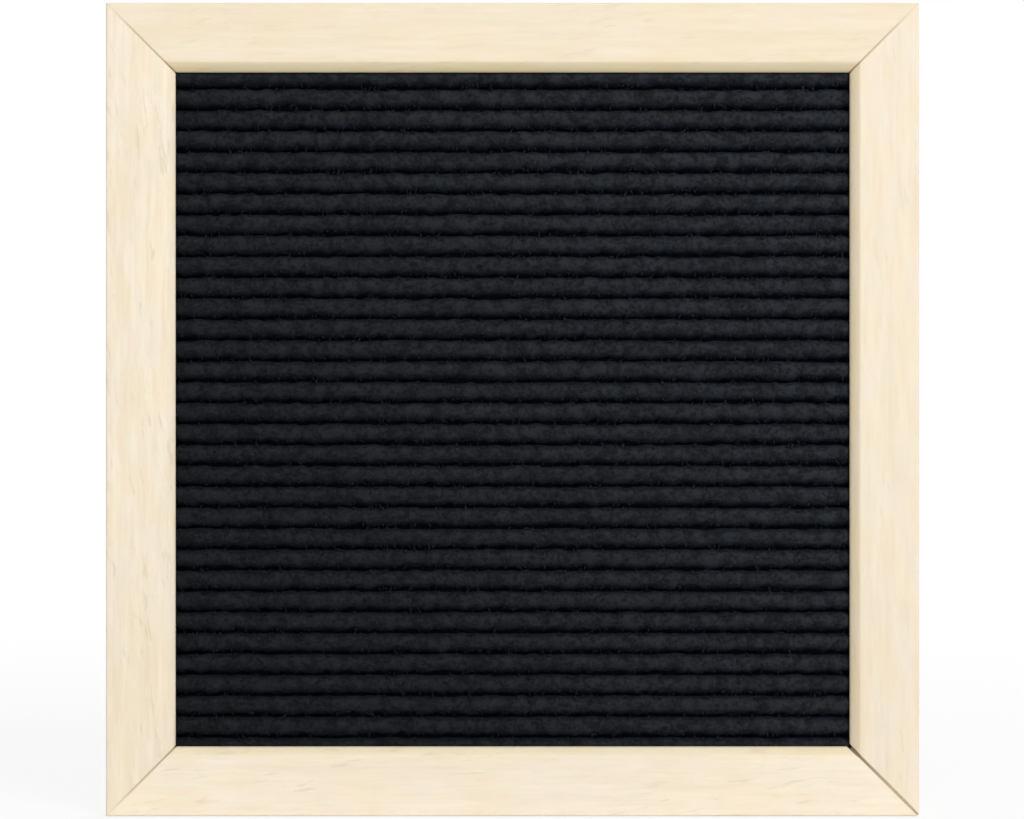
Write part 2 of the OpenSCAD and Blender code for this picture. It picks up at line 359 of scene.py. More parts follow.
def wood_grain_group():
    """Oak grain along X, from coordinates in millimetres."""
    amounts = {"Vector": None, "Seed": 0.0, "Bands": 1.0, "Streaks": 1.0, "Dashes": 1.0}
    tree, given, result = new_group("Wood grain", amounts, ["Tone", "Marks", "Pores", "Height"])
    # Another seed reads another part of the endless noise
    spot = vector_sums(tree, "MULTIPLY_ADD", given["Seed"], (91.7, 37.3, 53.1), given["Vector"])
    # Two sizes of wave push the coordinates sideways, so that the grain never runs quite straight
    grain = spot
    for squeeze, sway in (((0.012, 0.09, 0.09), 3.2), ((0.09, 0.35, 0.35), 1.4)):
        inputs = {"Vector": stretch(tree, spot, squeeze), "Scale": 1.0, "Detail": 1.0}
        waves = put(tree, "TexNoise", inputs).outputs["Color"]
        grain = vector_sums(tree, "MULTIPLY_ADD", waves, (0, sway, sway), grain)

    # Bands, streaks and the dark late wood of each year make up the tone
    bands = rough_noise(tree, stretch(tree, grain, (0.03, 0.32, 0.32)), 2.0)
    streaks = rough_noise(tree, stretch(tree, grain, (0.085, 0.85, 0.85)), 2.0, 0.5)
    rings = vector_sums(tree, "DOT_PRODUCT", grain, (0.0015, 0.31, 0.36))
    late_wood = sums(tree, "POWER", sums(tree, "FRACT", rings), 3.0)
    tone = 0.4
    for shade, amount, weight in ((bands, "Bands", 1.5), (streaks, "Streaks", 1.3)):
        swing = sums(tree, "MULTIPLY", sums(tree, "SUBTRACT", shade, 0.5), given[amount])
        tone = sums(tree, "MULTIPLY_ADD", swing, weight, tone)
    tone = sums(tree, "MULTIPLY_ADD", late_wood, 0.16, tone, clamp=True)

    # Dashes slant a little across the grain and come in clusters
    slanted = stretch(tree, turned(tree, grain, (0, 9, 0)), (0.1, 0.7, 0.7))
    dash_shape = fade(tree, rough_noise(tree, slanted, 2.0, 0.5), 0.56, 0.7)
    where = rough_noise(tree, stretch(tree, spot, (0.035, 0.16, 0.16)), 1.0)
    dash = sums(tree, "MULTIPLY", dash_shape, fade(tree, where, 0.42, 0.6))
    dash = sums(tree, "MULTIPLY", dash, given["Dashes"], clamp=True)

    # Pores are the middles of long thin cells, and some of the cells are closed
    fine = stretch(tree, grain, (0.42, 5.5, 5.5))
    pore_cells = put(tree, "TexVoronoi", {"Vector": fine, "Scale": 1.0}).outputs
    pore_shape = fade(tree, pore_cells["Distance"], 0.3, 0.12)
    open_pore = put(tree, "SeparateColor", {0: pore_cells["Color"]}).outputs[1]
    pore = sums(tree, "MULTIPLY", pore_shape, fade(tree, open_pore, 0.5, 0.8))

    # Streaks stand up a little, and pores and dashes are sunk
    height = sums(tree, "MULTIPLY", streaks, 0.5)
    height = sums(tree, "SUBTRACT", height, sums(tree, "MULTIPLY", pore, 0.5))
    height = sums(tree, "SUBTRACT", height, sums(tree, "MULTIPLY", dash, 0.25))
    feed(tree, result, Tone=tone, Marks=dash, Pores=pore, Height=height)
    return tree


wood_grain = wood_grain_group()
print("grain group:", len(wood_grain.nodes), "nodes")

# %% [markdown]
# ## Patches and fibres
# Two more effects are shared. Patches are soft blotches of a chosen size: they tint the oak,
# mottle the felt and cloud the boards. Fibres are short hairs that lie in all directions, as in
# felt, greyboard and hardboard, which are all made of matted fibre. Three stretched noises, each
# turned a different way, look like matted hairs when only their brightest parts are kept.

# %% Build the patch and fibre groups


def patches_group():
    """Soft blotches, each about Size millimetres across."""
    sizes = {"Vector": None, "Size": 5.0, "Seed": 0.0}
    tree, given, result = new_group("Patches", sizes, ["Value"])
    near = scaled(tree, given["Vector"], sums(tree, "DIVIDE", 1.0, given["Size"]))
    where = vector_sums(tree, "MULTIPLY_ADD", given["Seed"], (17.3, 5.9, 11.1), near)
    feed(tree, result, Value=rough_noise(tree, where, 2.0, 0.5))
    return tree


def fibres_group():
    """Matted hairs about Length by Width millimetres, lying every way."""
    sizes = {"Vector": None, "Length": 2.0, "Width": 0.2, "Seed": 0.0}
    tree, given, result = new_group("Fibres", sizes, ["Hairs", "Height"])
    where = vector_sums(tree, "MULTIPLY_ADD", given["Seed"], (23.1, 7.7, 13.9), given["Vector"])
    along = sums(tree, "DIVIDE", 1.0, given["Length"])
    across = sums(tree, "DIVIDE", 1.0, given["Width"])
    squeeze = put(tree, "CombineXYZ", {0: along, 1: across, 2: across}).outputs[0]
    layers = []
    for angles in ((0, 20, 5), (10, 75, 0), (0, 135, 20)):
        thin = vector_sums(tree, "MULTIPLY", turned(tree, where, angles), squeeze)
        layers.append(rough_noise(tree, thin, 2.0, 0.6))
    top = sums(tree, "MAXIMUM", sums(tree, "MAXIMUM", layers[0], layers[1]), layers[2])
    feed(tree, result, Hairs=fade(tree, top, 0.58, 0.78), Height=fade(tree, top, 0.4, 0.8))
    return tree


patches = patches_group()
fibres = fibres_group()
print("shared groups:", [g.name for g in bpy.data.node_groups])

# %% [markdown]
# ## Layers
# A surface is built up in layers. A stain lays a colour over the last one where a mask is bright.
# A bump changes only how the surface takes the light and moves no points, which is enough for
# marks as fine as pores and hairs.

# %% Write down the steps of a surface


def place(tree, group, inputs):
    """Put a node group into a material with its own values."""
    return put(tree, "Group", inputs, node_tree=group).outputs


def blotches(tree, vector, size, seed):
    """The patches group, placed with a size in millimetres and a seed."""
    return place(tree, patches, {"Vector": vector, "Size": size, "Seed": seed})["Value"]


def stain(tree, base, mask, strength, colour):
    """Lay a colour over the base where a mask is bright."""
    return mix_colour(tree, sums(tree, "MULTIPLY", mask, strength), base, colour)


def bump(tree, shader, height, distance, strength=1.0):
    """Let a height between 0 and 1 raise the surface by a small distance."""
    inputs = {"Height": height, "Distance": distance, "Strength": strength}
    feed(tree, shader.inputs, Normal=put(tree, "Bump", inputs).outputs[0])


print("steps of a surface:", [step.__name__ for step in (place, blotches, stain, bump)])

# %% [markdown]
# ## Pale oak
# Each rail was cut from a different stretch of wood, so each gets the same recipe with its own
# seed, amounts and tone. The tone is partly painted light: it makes the top and right rails darker
# and the bottom rail paler, against the stronger lamp light on the upper rails. The left rail has
# the clearest streaks and dashes, the top and right rails are calmer, and the bottom one lies
# between. The base colour moves between a pale cream and a slightly darker one. Wide patches make
# it a little cooler or more tan, and small ones give it a faint blush. Then the dashes and pores
# darken it.
# The end grain near each mitre has drunk some glue, so the wood is a touch browner right beside the
# seam. Along the chamfer the wood gets a warmer, darker tint that is painted shade, more on some
# rails than others.

# %% Make the oak for each rail
# Millimetres from the opening at which the painted shade on the chamfer starts, and where it is
# full
chamfer_foot = 4.2
chamfer_crest = 1.5


def oak(name, seed, bands, streaks, dashes, hue, chamfer_shade, tone):
    """Pale oak whose grain runs along the rail's own X."""
    pale = [a * b for a, b in zip(tone, (0.93, 0.835, 0.675))]
    darker = [a * b for a, b in zip(tone, (0.862, 0.75, 0.575))]
    material, tree, shader, mm = new_material(name, Roughness=0.55, Specular_IOR_Level=0.3)
    amounts = {"Vector": mm, "Seed": seed, "Bands": bands, "Streaks": streaks, "Dashes": dashes}
    grain = place(tree, wood_grain, amounts)
    along = stretch(tree, mm, (0.4, 1, 1))
    colour = mix_colour(tree, grain["Tone"], pale, darker)
    # Wide patches and small ones tint the wood
    for size, next_seed, cool, warm in (
        (7.0, seed, (1.0, 1.004, 1.03), (1.004, 0.99, 0.945)),
        (2.6, seed + 5, (0.995, 1.005, 1.005), (1.01, 0.99, 0.995)),
    ):
        cloud = blotches(tree, along, size, next_seed)
        tint = mix_colour(tree, fade(tree, cloud, 0.34, 0.66), cool, warm)
        colour = mix_colour(tree, hue, colour, tint, "MULTIPLY")
    colour = stain(tree, colour, grain["Marks"], 0.42, (0.66, 0.56, 0.38))
    colour = stain(tree, colour, grain["Pores"], 0.08, (0.52, 0.4, 0.26))
    # Distances from the rail's middle and from its outer face add up to half the board on the mitre
    split = put(tree, "SeparateXYZ", {0: mm}).outputs
    from_middle = sums(tree, "ADD", sums(tree, "ABSOLUTE", split["X"]), split["Z"])
    to_mitre = sums(tree, "SUBTRACT", board_w / 2 / MM, from_middle)
    soaked = fade(tree, to_mitre, 0.8, 0.4, 0.0, 0.45)
    glue_stain = sums(tree, "MULTIPLY", soaked, fade(tree, split["Z"], 1.0, 9.0, 0.15, 1.0))
    colour = mix_colour(tree, glue_stain, colour, (0.6, 0.45, 0.27))
    # Painted shade: a warm darker tint on the chamfer, with its strength set for each rail
    shade_from = rail_w / MM - chamfer_foot
    shade_to = rail_w / MM - chamfer_crest
    painted_chamfer_shade = fade(tree, split["Z"], shade_from, shade_to, 0.0, chamfer_shade)
    colour = mix_colour(tree, painted_chamfer_shade, colour, (0.91, 0.89, 0.75), "MULTIPLY")
    rough = sums(tree, "MULTIPLY_ADD", grain["Tone"], 0.12, 0.5)
    feed(tree, shader.inputs, Base_Color=colour, Roughness=rough)
    bump(tree, shader, grain["Height"], 0.05 * MM)
    return material


# Each tone is partly the wood's own and partly painted light: darker on the top and right rails,
# paler on the bottom one
rail_looks = {
    "bottom": oak("oak_bottom", 3.0, 0.9, 0.7, 0.8, 0.8, 0.7, (1.029, 1.028, 1.039)),
    "right": oak("oak_right", 7.0, 1.0, 0.8, 0.5, 1.0, 0.6, (0.96, 0.951, 0.948)),
    "top": oak("oak_top", 12.0, 0.85, 0.65, 0.5, 0.8, 1.0, (0.952, 0.931, 0.899)),
    "left": oak("oak_left", 21.0, 1.3, 1.2, 1.2, 1.0, 0.0, (0.98, 0.977, 0.977)),
}
print("oak materials:", list(rail_looks))

# %% [markdown]
# ## The rail's section
# A frame rail is a moulding: one section pushed along a straight line. Its front has a small
# round on the outside and a wide soft chamfer round the opening, which shows as a shaded band
# on the top and right rails. Behind the front lip a step is cut out, the rebate, and the felt
# panel drops into it from behind.
# The section is a closed outline of width and depth. Most of its measures come from the solids.

# %% Measure the section
front_y = cad_low.y
rail_back = rail_box[1].y
rail_d = rail_back - front_y
panel_low, panel_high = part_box("backing_board")
panel_play = 0.3 * MM
land = board_w / 2 - panel_high.x - panel_play
felt_low, felt_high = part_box("felt_facing")
felt_air = 0.05 * MM
lip_t = felt_low.y - felt_air - front_y
front_round = 0.8 * MM
# Radius and turn of each arc of the chamfer, from the front face to the wall of the opening
chamfer_arcs = [(1.2 * MM, 27), (9 * MM, 18), (1.5 * MM, 45)]
back_round = 0.8 * MM
broken_edge = 0.25 * MM
print("section:", round(rail_w / MM, 1), "by", round(rail_d / MM, 1), "mm")

# %% [markdown]
# ## Straight lines and arcs
# The outline is put together from arcs and straight lines. The chamfer is a chain of three arcs,
# each of which carries on in the direction in which the last one ends. Long straight lines get
# extra points, so that the faces along the rail stay narrow.

# %% Draw the section


def arc(centre, radius, start, stop, steps):
    """Points on part of a circle, from one angle to another in degrees."""
    angles = [math.radians(start + (stop - start) * k / steps) for k in range(steps + 1)]
    return [(centre[0] + radius * math.cos(a), centre[1] + radius * math.sin(a)) for a in angles]


def arc_chain(end, bends, steps):
    """A chain of arcs that starts level, keeps turning left and finishes at the given end."""
    points = [(0.0, 0.0)]
    heading = 0.0
    for radius, turn in bends:
        x, y = points[-1]
        centre = (x - radius * math.sin(heading), y + radius * math.cos(heading))
        start = math.degrees(heading) - 90
        points += arc(centre, radius, start, start + turn, steps)[1:]
        heading += math.radians(turn)
    last = points[-1]
    return [(x - last[0] + end, y) for x, y in points]


def filled(outline, longest):
    """A closed outline with more points along its long straight stretches."""
    dense = []
    for a, b in zip(outline, outline[1:] + outline[:1]):
        steps = max(1, math.ceil(math.dist(a, b) / longest))
        dense += [tuple(Vector(a).lerp(Vector(b), k / steps)) for k in range(steps)]
    return dense


section = filled(
    arc((front_round, front_round), front_round, 180, 270, 6)
    + arc_chain(rail_w, chamfer_arcs, 4)
    + arc((rail_w - broken_edge, lip_t - broken_edge), broken_edge, 0, 90, 2)
    + [(land, lip_t)]
    + arc((land - broken_edge, rail_d - broken_edge), broken_edge, 0, 90, 2)
    + arc((back_round, rail_d - back_round), back_round, 90, 180, 5),
    2.5 * MM,
)
print("points round the section:", len(section))

# %% [markdown]
# ## The mitres
# The rails meet at 45 degrees, and no mitre closes perfectly. Three seams here are fine lines,
# and the one at the bottom right has opened, most of all at its inner end. So each corner gets
# its own values: how far the sawn edge was softened, and how far the joint gapes.
# The section can be moved inwards point by point. The last few rings of each rail use that to
# round the sawn edge over, and the ring positions follow the gap.

# %% Describe the four corners


def inset(outline, distances):
    """Every point of a closed outline moved inwards by its own distance."""
    moved = []
    for k, here in enumerate(outline):
        before = (Vector(here) - Vector(outline[k - 1])).normalized()
        after = (Vector(outline[(k + 1) % len(outline)]) - Vector(here)).normalized()
        inward = Vector((-before.y - after.y, before.x + after.x))
        moved.append(Vector(here) + inward * distances[k] / (1 + before.dot(after)))
    return moved


def smooth(value, start, stop):
    """0 before start, 1 after stop, and an even curve between them."""
    t = min(1, max(0, (value - start) / (stop - start)))
    return t * t * (3 - 2 * t)


glue_t = 0.15 * MM
inner_end = 4.5 * MM
# For each corner: softened edge outside and inside, gap all along, more gap at the inner end
corners = {
    "bottom_right": (0.3 * MM, 0.3 * MM, 0.46 * MM, 0.16 * MM),
    "top_right": (0.05 * MM, 0.2 * MM, 0.0, 0.05 * MM),
    "top_left": (0.08 * MM, 0.2 * MM, 0.0, 0.05 * MM),
    "bottom_left": (0.1 * MM, 0.24 * MM, 0.0, 0.06 * MM),
}


def softened(corner, w):
    """Radius of the sawn edge at a distance from the rail's outer face."""
    outside, inside, _, _ = corners[corner]
    return outside + (inside - outside) * w / rail_w


def gape(corner, w):
    """How far a rail's end stands back from its true mitre."""
    _, _, everywhere, inside = corners[corner]
    return everywhere + inside * smooth(w, rail_w - inner_end, rail_w)


print("widest seam:", round((glue_t + math.sqrt(2) * gape("bottom_right", rail_w)) / MM, 2), "mm")

# %% [markdown]
# ## The rails
# Each rail is built lying along its own X axis with its outer face down, then turned into place.
# That way the object's coordinates always run along the grain. The loft is a list of rings: the
# section repeated from one mitre to the other, each point shifted so that the ring at either end
# lies on the 45 degree cut.

# %% Loft a rail between two mitres
rail_steps = 84
round_steps = 3


def loft(name, rings, closed=True, capped=True):
    """A skin over rings of points. Closed joins each ring to itself, capped fills both ends."""
    size = len(rings[0])
    points = [point for ring in rings for point in ring]
    faces = []
    for first in range(0, len(points) - size, size):
        for k in range(size if closed else size - 1):
            after = (k + 1) % size
            faces.append((first + k, first + after, first + size + after, first + size + k))
    if capped:
        faces += [tuple(range(size)), tuple(range(len(points) - size, len(points)))]
    return mesh_piece(name, points, faces)


def rail_mesh(name, start_corner, end_corner):
    """A mitred rail along X, from the start corner at -X to the end corner at +X."""
    reach = board_w / 2 - glue_t / math.sqrt(2)

    def ring(corner, side, angle):
        """One ring of the rounded sawn edge, from the end face at 0 to the full section at 90."""
        radii = [softened(corner, w) for w, _ in section]
        shape = inset(section, [r * (1 - math.sin(angle)) for r in radii])
        points = []
        for (w, _), r, (z, depth) in zip(section, radii, shape):
            x = reach - w - gape(corner, w) - r * (1 - math.cos(angle))
            points.append(Vector((side * x, front_y + depth, z)))
        return points

    angles = [math.radians(90 * k / round_steps) for k in range(round_steps + 1)]
    start = [ring(start_corner, -1, angle) for angle in angles]
    end = [ring(end_corner, 1, angle) for angle in angles]
    shares = [k / rail_steps for k in range(1, rail_steps)]
    between = [[a.lerp(b, share) for a, b in zip(start[-1], end[-1])] for share in shares]
    return loft(name, start + between + end[::-1])


print("rings in each rail:", 2 * (round_steps + 1) + rail_steps - 1)

# %% [markdown]
# ## Four sides
# The same function makes all four rails. Only the corners at the two ends differ. One short table
# says for each rail which corners those are, how it is turned and where it stands.

# %% Stand the rails round the opening
# Turn about Y and corner of the board for each rail, with the corners at its two ends
rail_places = {
    "bottom": (0, (0, 0, 0), "bottom_left", "bottom_right"),
    "right": (-90, (board_w / 2, 0, board_w / 2), "bottom_right", "top_right"),
    "top": (180, (0, 0, board_w), "top_right", "top_left"),
    "left": (90, (-board_w / 2, 0, board_w / 2), "top_left", "bottom_left"),
}


def stand_in_place(piece, side):
    """Turn a piece that was made along X into its side of the board."""
    turn, corner, _, _ = rail_places[side]
    piece.matrix_world = Matrix.Translation(corner) @ Matrix.Rotation(math.radians(turn), 4, "Y")


rails = {}
for side, (_, _, start_corner, end_corner) in rail_places.items():
    rails[side] = rail_mesh(f"oak_rail_{side}", start_corner, end_corner)
    stand_in_place(rails[side], side)
print("faces in each rail:", {side: len(rail.data.polygons) for side, rail in rails.items()})

# %% [markdown]
# ## Room for the metal
# Nails and screws need room in the rails. On the bench the steel makes its own hole. Here the
# same steel shapes, made a little larger, are cut out of the rails. The places of all the metal
# come from the measured solids, and its sizes are those of ordinary framer's nails and screws.

# %% Find the places of the screws and the nails
corner_names = [f"{row}_{side}" for row in ("top", "bottom") for side in ("left", "right")]
button_air = 0.2 * MM
button_t = 0.8 * MM
head_air = 0.1 * MM
head_y = rail_back + button_air + button_t + head_air
joints = {j["child"]: j for j in frame["joints"]}
button_axes = {n: Vector(joints["turn_button_" + n]["pos_m"]) for n in corner_names}
screw_spots = {n: (axis.x, head_y, axis.z) for n, axis in button_axes.items()}
hanger_t = 0.8 * MM
brad_head_d = 3.0 * MM
nails_low, nails_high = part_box("hanger_nails")
brad_x = nails_high.x - brad_head_d / 2
brad_y = rail_back + hanger_t
brad_z = (nails_low.z + nails_high.z) / 2
brad_spots = {"left": (-brad_x, brad_y, brad_z), "right": (brad_x, brad_y, brad_z)}
print("screws stand", round(screw_spots["top_right"][0] / MM, 1), "mm from the middle")

# %% [markdown]
# ## Round pieces
# Screws, nails and bumpers are turned shapes, and so are the holes for them. A turned shape is an
# outline of radius and height that goes round an axis, so one function makes them all. On this
# board every one of them points backwards out of the wood, along +Y.

# %% Turn the cutters for screws and nails
hole_play = 0.05 * MM
screw_d = 3.0 * MM
screw_l = 10.0 * MM
brad_d = 1.3 * MM
brad_l = 9.0 * MM
point_l = 2.0 * MM


def lathe_mesh(name, outline, place_at, steps=40):
    """A closed round piece from (radius, height) points, with its axis along +Y."""
    points = []
    rows = []
    for radius, height in outline:
        if radius == 0:
            rows.append([len(points)] * steps)
            points.append(Vector(place_at) + Vector((0, height, 0)))
            continue
        rows.append([len(points) + k for k in range(steps)])
        for k in range(steps):
            a = 2 * math.pi * k / steps
            offset = Vector((radius * math.cos(a), height, radius * math.sin(a)))
            points.append(Vector(place_at) + offset)
    faces = []
    for low, high in zip(rows, rows[1:]):
        for k in range(steps):
            after = (k + 1) % steps
            quad = [low[k], low[after], high[after], high[k]]
            faces.append(tuple(dict.fromkeys(quad)))
    return mesh_piece(name, points, [f for f in faces if len(f) > 2])


def shank(diameter, length, grow=0.0):
    """Outline of a pointed shank whose head would sit at height 0."""
    r = diameter / 2 + grow
    deep = -length - grow
    return [(0, deep), (r / 4, deep), (r, deep + point_l), (r, 0)]


def hole_cutter(name, diameter, length, spot):
    """The shape of a hole for a screw or a nail, with its mouth at the spot."""
    return lathe_mesh(name, shank(diameter, length, hole_play) + [(0, 0)], spot)


screw_holes = {n: hole_cutter("hole_" + n, screw_d, screw_l, s) for n, s in screw_spots.items()}
brad_holes = [hole_cutter("nail_hole_" + n, brad_d, brad_l, s) for n, s in brad_spots.items()]
print("round cutters:", len(screw_holes) + len(brad_holes))

# %% [markdown]
# ## V nails and their slots
# Framers join mitres with V nails: small strips of steel bent to a right angle and pressed into
# the back of the corner, half in each rail. Two sit in every corner. The outline of the V is
# pushed straight into the wood. The cutter is the same shape, grown a little, with a square bend.

# %% Shape the cutters for the corner nails
v_leg = 4.0 * MM
v_t = 0.5 * MM
v_depth = 7.0 * MM
v_outer = 3.5 * MM
v_inner = 1.2 * MM
v_bends = {"outer": v_outer, "inner": land - v_inner - v_leg}


def v_nail_mesh(name, corner, bend, grow=0.0):
    """A V nail in one corner, driven in from the back with its bend on the mitre."""
    half = v_t / 2 + grow
    tip = v_leg + grow
    shape = [(tip, -half), (tip, half), (half, half), (half, tip), (-half, tip)]
    shape += [(-half, -half)] if grow else arc((0, 0), half * math.sqrt(2), 180, 270, 3)[1:-1]
    away = -1 if corner.endswith("right") else 1
    up = -1 if corner.startswith("top") else 1
    x0 = -away * board_w / 2
    z0 = board_w if corner.startswith("top") else 0
    depths = (rail_back - v_depth - grow, rail_back + (MM if grow else 0))
    rings = [[(x0 + away * (bend + a), y, z0 + up * (bend + b)) for a, b in shape] for y in depths]
    return loft(name, rings)


v_slots = {
    corner: [v_nail_mesh(f"slot_{corner}_{k}", corner, b, hole_play) for k, b in v_bends.items()]
    for corner in corner_names
}
print("slots in each corner:", len(v_bends))

# %% [markdown]
# ## Cutting the rails
# A Boolean modifier takes one shape out of another. Each rail gets one for every cutter, and the
# result is then settled into a plain mesh, so that the cutters can be thrown away.

# %% Cut the rails


def add_modifier(piece, kind, **settings):
    """Put a modifier on a piece and set it up."""
    modifier = piece.modifiers.new(kind.title(), kind)
    for setting, value in settings.items():
        setattr(modifier, setting, value)


def settle_modifiers(piece):
    """Turn what the modifiers show into the piece's own mesh."""
    shown = piece.evaluated_get(bpy.context.evaluated_depsgraph_get())
    mesh = bpy.data.meshes.new_from_object(shown)
    piece.modifiers.clear()
    piece.data = mesh


def cut(piece, cutters):
    """Take some shapes out of a piece."""
    for cutter in cutters:
        add_modifier(piece, "BOOLEAN", operation="DIFFERENCE", object=cutter, solver="EXACT")
    bpy.context.view_layer.update()
    settle_modifiers(piece)


for side, rail in rails.items():
    _, _, start_corner, end_corner = rail_places[side]
    tools = v_slots[start_corner] + v_slots[end_corner]
    tools += [hole for n, hole in screw_holes.items() if n.endswith(side)]
    tools += brad_holes if side == "top" else []
    cut(rail, tools)
for tool in [*sum(v_slots.values(), []), *screw_holes.values(), *brad_holes]:
    bpy.data.objects.remove(tool)
print("faces after cutting:", {side: len(rail.data.polygons) for side, rail in rails.items()})

# %% [markdown]
# ## Finishing a piece
# Smooth shading blends the light across neighbouring faces, and edges above a set angle stay crisp.
# On the rails weighted normals let the large faces decide, so that the cuts leave no smears on the
# flat wood. A finished piece is also fixed to the body it rides on, gets its material, and hides
# the measured solids that it stands for.

# %% Finish the rails


def dress(piece, material, body="root"):
    """Give a piece its material and fix it to its body."""
    piece.data.materials.clear()
    piece.data.materials.append(material)
    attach(piece, body)


def finish_piece(piece, material, replaces, body="root", sharp=38):
    """Dress a piece that stands for measured solids, and shade it smooth."""
    dress(piece, material, body)
    piece.data.shade_smooth()
    piece.data.set_sharp_from_angle(angle=math.radians(sharp))
    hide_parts(*replaces)


for side, rail in rails.items():
    finish_piece(rail, rail_looks[side], [f"{side}_rail"])
    add_modifier(rail, "WEIGHTED_NORMAL", keep_sharp=True)
print("finished:", [rail.name for rail in rails.values()])

# %% [markdown]
# ## Wood glue
# Wood glue fills each mitre and dries to a thin line. In the three closed seams it is pale near the
# board's outside and browner towards the opening. In the open one it turns much darker towards the
# opening, and the seam reads as a dark gap. One recipe makes both.

# %% Mix the glue


def glue_material(name, clean, inner_dark):
    """Aged wood glue. Clean is how pale it is outside, and the last number how dark it is by the
    opening.
    """
    material, tree, shader, mm = new_material(name, Roughness=0.4)
    cloud = blotches(tree, mm, 1.5, 4.0)
    colour = mix_colour(tree, cloud, (0.6, 0.5, 0.34), (0.44, 0.35, 0.21))
    from_outside = put(tree, "SeparateXYZ", {0: mm}).outputs["Z"]
    pale = fade(tree, from_outside, 2.0, 11.0, clean, 0.0)
    colour = mix_colour(tree, pale, colour, (0.88, 0.79, 0.62))
    inner_darkening = fade(tree, from_outside, 9.0, 20.0, 0.0, inner_dark)
    feed(tree, shader.inputs, Base_Color=mix_colour(tree, inner_darkening, colour, (0.22, 0.15, 0.07)))
    bump(tree, shader, cloud, 0.05 * MM)
    return material


closed_seam = glue_material("glue_in_a_closed_seam", 0.85, 0.25)
open_seam = glue_material("glue_in_the_open_seam", 0.0, 0.75)
print("glue:", closed_seam.name, "and", open_seam.name)

# %% [markdown]
# ## Glue in the seams
# The glue is a sheet with the rail's own section, a little smaller, standing on the diagonal just
# under the wood's surface. Where the joint gapes it is thicker and lies deeper. Each sheet is
# made at the end of one rail and then turned like that rail.

# %% Fill the seams
glue_sunk = 0.05 * MM
glue_sunk_in_gap = 0.45 * MM
glue_fill = 0.97
widest_gape = gape("bottom_right", rail_w)


def glue_mesh(name, corner):
    """The glue at the +X end of a rail, made in that rail's own place."""
    deep = [glue_sunk + glue_sunk_in_gap * gape(corner, w) / widest_gape for w, _ in section]
    rings = []
    for side in (-1, 1):
        ring = []
        for w, depth in inset(section, deep):
            thick = glue_t / 2 + gape(corner, w) / math.sqrt(2)
            shift = side * glue_fill * thick / math.sqrt(2)
            ring.append((board_w / 2 - w + shift, front_y + depth, w + shift))
        rings.append(ring)
    return loft(name, rings)


for side, (_, _, _, corner) in rail_places.items():
    seam = glue_mesh(f"glue_{corner}", corner)
    stand_in_place(seam, side)
    dress(seam, open_seam if corner == "bottom_right" else closed_seam)

# %% [markdown]
# ## The felt panel's shape
# One sheet of felt covers all the ribs. It goes over a strip, down into a groove, round a tight
# fold and up over the next strip, from the top of the panel to its bottom. So its shape is one
# long line of height and depth, pushed sideways across the board.
# The line is worked out from the measured strips: each one gives the top and bottom of its rib.

# %% Trace the felt over every rib
strip_names = sorted(n for n in frame["nodes"] if n.startswith("rib_strip_"))
felt_t = 0.9 * MM
felt_side = felt_t + felt_air
strip_round = 0.4 * MM
upper_round = 1.9 * MM
lower_round = 3.0 * MM
groove_w = 1.2 * MM
fold_y = felt_high.y - groove_w / 2 - felt_t


def shoulder(radius, angles):
    """How far a rounded shoulder lies behind the crest and inside the edge, at each angle."""
    turns = [math.radians(a) for a in angles]
    return [(radius * (1 - math.cos(a)), radius * (1 - math.sin(a))) for a in turns]


def felt_line(upper, lower, air):
    """Rows of (depth, height, rib, side) down the panel, one line for each face of the felt.

    Upper and lower are the radii of a rib's two edges. Air is how far this face lies from the
    strip. Side runs evenly from 1 at a rib's top to -1 at its foot, and is 0 in the folds.
    """
    rows = []
    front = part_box(strip_names[0])[0].y - air
    for rib, node in enumerate(strip_names):
        low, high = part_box(node)
        top = high.z + air
        foot = low.z - air
        line = [(fold_y, top)]
        line += [(front + back, top - down) for back, down in shoulder(upper, (90, 60, 30, 0))]
        line.append((front, (top - upper + foot + lower) / 2))
        line += [(front + back, foot + up) for back, up in shoulder(lower, (0, 22, 45, 68, 90))]
        line.append((fold_y, foot))
        rows += [(y, z, rib, (2 * z - top - foot) / (top - foot)) for y, z in line]
        if rib < len(strip_names) - 1:
            gap = foot - (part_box(strip_names[rib + 1])[1].z + air)
            rows.append((fold_y + gap / 2, foot - gap / 2, rib, 0.0))
    return rows


felt_rows = felt_line(upper_round, lower_round, felt_side)
back_rows = felt_line(strip_round, strip_round, felt_air)

# %% [markdown]
# ## The felt's surface
# Felt is never quite straight. Its groove edges waver, it swells forward a little where the frame
# stops pressing on it, and each rib has soft dents. Smooth noise moves every point of the front.
# Under the frame the felt is held flat, so all movement fades out there.

# %% Let the felt swell and wander
sight_half = board_w / 2 - rail_w
opening = (cad_low.z + rail_w, cad_high.z - rail_w)
# Millimetres that the felt swells forward, before its dents
felt_swell = 0.75


def in_the_open(x, z, width=1.0 * MM):
    """0 under the frame, 1 in the opening, with a short slope between."""
    from_side = sight_half - abs(x)
    from_end = min(z - opening[0], opening[1] - z)
    return smooth(from_side, 0, width) * smooth(from_end, 0, width)


def wander(x, rib, top_edge):
    """How far a groove's edge strays from its straight line."""
    slow = noise.noise(Vector((x / (12 * MM), rib * 3.7, top_edge * 5.1)))
    quick = noise.noise(Vector((x / (4 * MM), rib * 5.3, top_edge * 9.7 + 40)))
    small = noise.noise(Vector((x / (2.1 * MM), rib * 7.9, top_edge * 3.3 + 80)))
    if top_edge:
        return (0.2 * slow + 0.4 * quick + 0.4 * small - 0.2) * MM
    return (0.35 * slow + 0.75 * quick + 0.65 * small - 0.07) * MM


